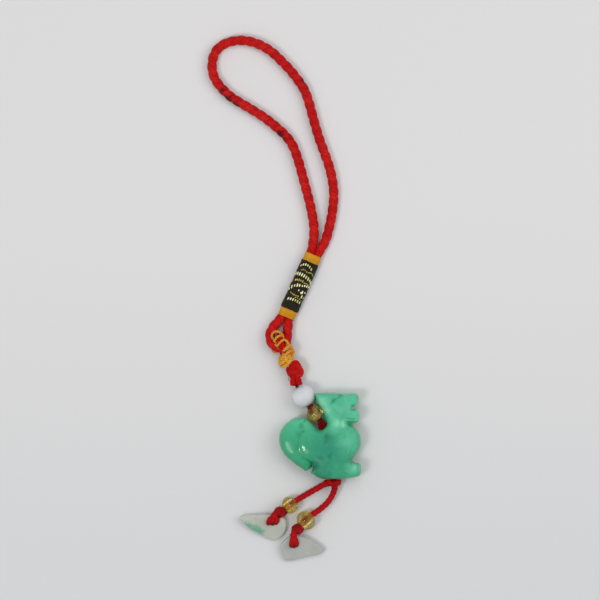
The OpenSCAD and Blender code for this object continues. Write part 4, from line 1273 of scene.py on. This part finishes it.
# Chips: outlines as shares of the chip's length and width, from its hole
chipSet = {"length": 15.0, "width": 8.8, "hole": 2.1, "toKnot": 0.8, "rounding": 0.9, "margin": 0.5,
           "above": 0.4, "cell": 0.13, "blend": 0.02, "holeBlend": 0.05, "smoothing": 1}
chipOutlines = {
    "left": [[-0.72, 0.24], [-0.69, 0.32], [-0.6, 0.35], [-0.16, 0.38], [0.18, 0.31], [0.31, 0.11],
             [0.31, -0.22], [0.21, -0.49], [0.08, -0.6], [-0.07, -0.53], [-0.26, -0.36], [-0.42, -0.22],
             [-0.54, -0.08], [-0.66, 0.14]],
    "right": [[0.18, 0.41], [0.02, 0.45], [-0.12, 0.4], [-0.24, 0.22], [-0.3, 0.04], [-0.3, -0.11],
              [-0.26, -0.31], [-0.22, -0.49], [-0.12, -0.53], [0.04, -0.49], [0.36, -0.35], [0.55, -0.29],
              [0.65, -0.19], [0.67, -0.1], [0.6, 0.02], [0.39, 0.25]]}


def makeChips(values, stones):
    thickness, lift = tailShared["chipThickness"], tailShared["chipLift"]
    for sideName, outline in chipOutlines.items():
        t = tailSets[sideName]
        hole = tailPlaces(t)[4]
        tilt = math.asin(lift / t["chipReach"])
        outline = np.array(outline) * (values["length"], values["width"])
        low, high = outline.min(0) - values["margin"], outline.max(0) + values["margin"]
        stone = StoneField((*low, -values["above"]), (*high, thickness + values["above"]), values["cell"])
        slab = stone.pillow(outline, thickness / 2, thickness / 2, values["rounding"])
        stone.add(slab, values["blend"])
        toKnot = step((0.0, 0.0), t["strandTurn"] + 180, values["toKnot"])
        away = np.sqrt((stone.x - toKnot[0]) ** 2 + (stone.y - toKnot[1]) ** 2)[:, :, None] + 0 * stone.z
        stone.cut(away - values["hole"] / 2, values["holeBlend"])

        def lay(points):
            y, z = points[:, 1], points[:, 2]
            return np.column_stack([hole[0] + points[:, 0], hole[1] + y * math.cos(tilt) - z * math.sin(tilt),
                                    lift + y * math.sin(tilt) + z * math.cos(tilt)])

        piece = carve(sideName + "Chip", stone, stones[sideName], values["smoothing"], lay)
        finishPiece(piece, "chip_stone", sideName + "_chip")


# Finishes of the fittings
brocadeSet = {"warp": 0.00032, "weft": 0.00028, "darkColour": (14, 14, 12), "lightColour": (28, 26, 19),
              "threadColour": (50, 46, 27), "redColour": (170, 24, 34),
              "clouds": (420.0, 3.0, 0.0, 0.35, 0.7), "weave": 0.3, "bump": (0.5, 0.00005),
              "redMarks": {"ragged": 0.8, "places": [[-9.7, 52.3, 2.3, 1.8], [-9.3, 52.0, 3.0, 1.1],
                                                     [-8.8, 47.2, 4.0, 0.7]]}}


def makeBrocade(values):
    material, wire, shader = newMaterial("brocadeBlack", Roughness=0.7, Sheen_Weight=0.05,
                                         Specular_IOR_Level=0.2)
    turned = wire.out("ShaderNodeMapping", {"Vector": wire.place(),
                                            "Rotation": (0, 0, -math.radians(sleeveSet["turn"]))})
    across = wire.node("ShaderNodeSeparateXYZ", {0: turned}).outputs
    warp = wire.math("SINE", wire.times(across[1], math.tau / values["warp"]))
    weft = wire.math("SINE", wire.times(across[0], math.tau / values["weft"]))
    weave = wire.times(warp, weft)
    base = wire.clouds(values["clouds"], colour(*values["darkColour"]), colour(*values["lightColour"]))
    raised = wire.math("MULTIPLY_ADD", weave, values["weave"], values["weave"])
    base = wire.mix(raised, base, colour(*values["threadColour"]))
    base = wire.mix(marks(wire, **values["redMarks"]), base, colour(*values["redColour"]))
    finishColour(wire, shader, base, weave, *values["bump"])
    return material


def makeStitchThread():
    material, wire, shader = newMaterial("stitchThread", Roughness=0.45, Sheen_Weight=0.2,
                                         Specular_IOR_Level=0.5)
    s = stitchSet
    tone = wire.attribute("tone")
    base = wire.mix(wire.ramp(tone, *s["toPlain"]), colour(*s["dull"]), colour(*s["plain"]))
    base = wire.mix(wire.ramp(tone, *s["toBright"]), base, colour(*s["bright"]))
    finishColour(wire, shader, base)
    return material


whiteSet = {"colour": (211, 213, 216), "roughness": 0.3}


def makeWhiteGlaze(values):
    return newMaterial("whiteGlaze", Base_Color=colour(*values["colour"]), Roughness=values["roughness"],
                       Specular_IOR_Level=0.25,
                       Subsurface_Weight=1.0, Subsurface_Scale=0.012,
                       Subsurface_Radius=(1.0, 0.9, 0.85))[0]


# Glass beads: the cream marks are painted highlights and the brown marks painted shade, where the cord's core
# looks dark through the glass
glassSets = {
    "amberGlass": {"clear": 0.9, "main": (252, 222, 96), "light": (255, 238, 146),
                   "brownPlaces": [[-9.6, -22.2, 5.2, 1.3], [-5.2, -27.4, 5.8, 1.7]],
                   "creamPlaces": [[-10.3, -21.4, 5.0, 1.2], [-8.2, -24.6, 4.4, 1.3], [-6.6, -26.6, 5.6, 1.1],
                                   [-3.2, -29.0, 5.2, 1.5]]},
    "neckGlass": {"clear": 0.86, "main": (250, 222, 104), "light": (255, 240, 150),
                  "brownPlaces": [[-3.2, 8.2, 5.4, 1.8], [-0.2, 8.6, 5.6, 1.3]],
                  "creamPlaces": [[0.5, 6.9, 5.2, 1.5]]}}
glassShared = {"clouds": (240.0, 2.0, 0.0, 0.35, 0.7), "brown": (176, 112, 30), "cream": (255, 253, 226)}


def makeGlass(name, clear, main, light, brownPlaces, creamPlaces):
    material, wire, shader = newMaterial(name, Roughness=0.04, IOR=1.42, Transmission_Weight=clear)
    base = wire.clouds(glassShared["clouds"], colour(*main), colour(*light))
    # painted shade of the dark core seen through the bead
    base = wire.mix(marks(wire, brownPlaces), base, colour(*glassShared["brown"]))
    # painted highlights
    base = wire.mix(marks(wire, creamPlaces), base, colour(*glassShared["cream"]))
    finishColour(wire, shader, base)
    return material


chipClouds = (150.0, 4.0, 0.0, 0.35, 0.7)
chipFinish = {
    "left": {"main": (200, 203, 191), "cloudy": (212, 216, 208), "streak": (116, 186, 154),
             "streakPlaces": [[-23.7, -29.7, 1.6, 2.2], [-22.0, -30.9, 1.5, 2.5], [-20.4, -31.7, 1.3, 2.6],
                              [-24.4, -28.4, 1.8, 1.5]]},
    "right": {"main": (190, 194, 187), "cloudy": (200, 204, 198)}}


def makeChipStone(name, main, cloudy, streak=None, streakPlaces=()):
    material, wire, shader = newMaterial(name, Roughness=0.2, IOR=1.5, Transmission_Weight=0.3,
                                         Coat_Weight=0.15, Subsurface_Weight=0.3, Subsurface_Scale=0.0015,
                                         Subsurface_Radius=(0.9, 1.0, 0.9))
    base = wire.clouds(chipClouds, colour(*main), colour(*cloudy))
    if streak:
        base = wire.mix(marks(wire, streakPlaces), base, colour(*streak))
    finishColour(wire, shader, base)
    return material


glass = {name: makeGlass(name, **values) for name, values in glassSets.items()}
chipStones = {side: makeChipStone("chipStone" + side.title(), **values)
              for side, values in chipFinish.items()}
makeBindings(bindingSet)
makeSleeve(makeBrocade(brocadeSet))
makeStitches(makeStitchThread())
makeLink()
makeLashing()
makeGoldKnot(goldKnotSet)
makeRedKnot(redKnotSet)
makeBeadCord()
makeStopper()
makeTailKnots(tailKnotSet)
makeBeads(makeWhiteGlaze(whiteSet), glass["neckGlass"], glass["amberGlass"])
makeChips(chipSet, chipStones)
print("fittings made")

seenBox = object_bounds()
{"cad": [list(corner) for corner in cadBox], "visual": [list(corner) for corner in seenBox]}
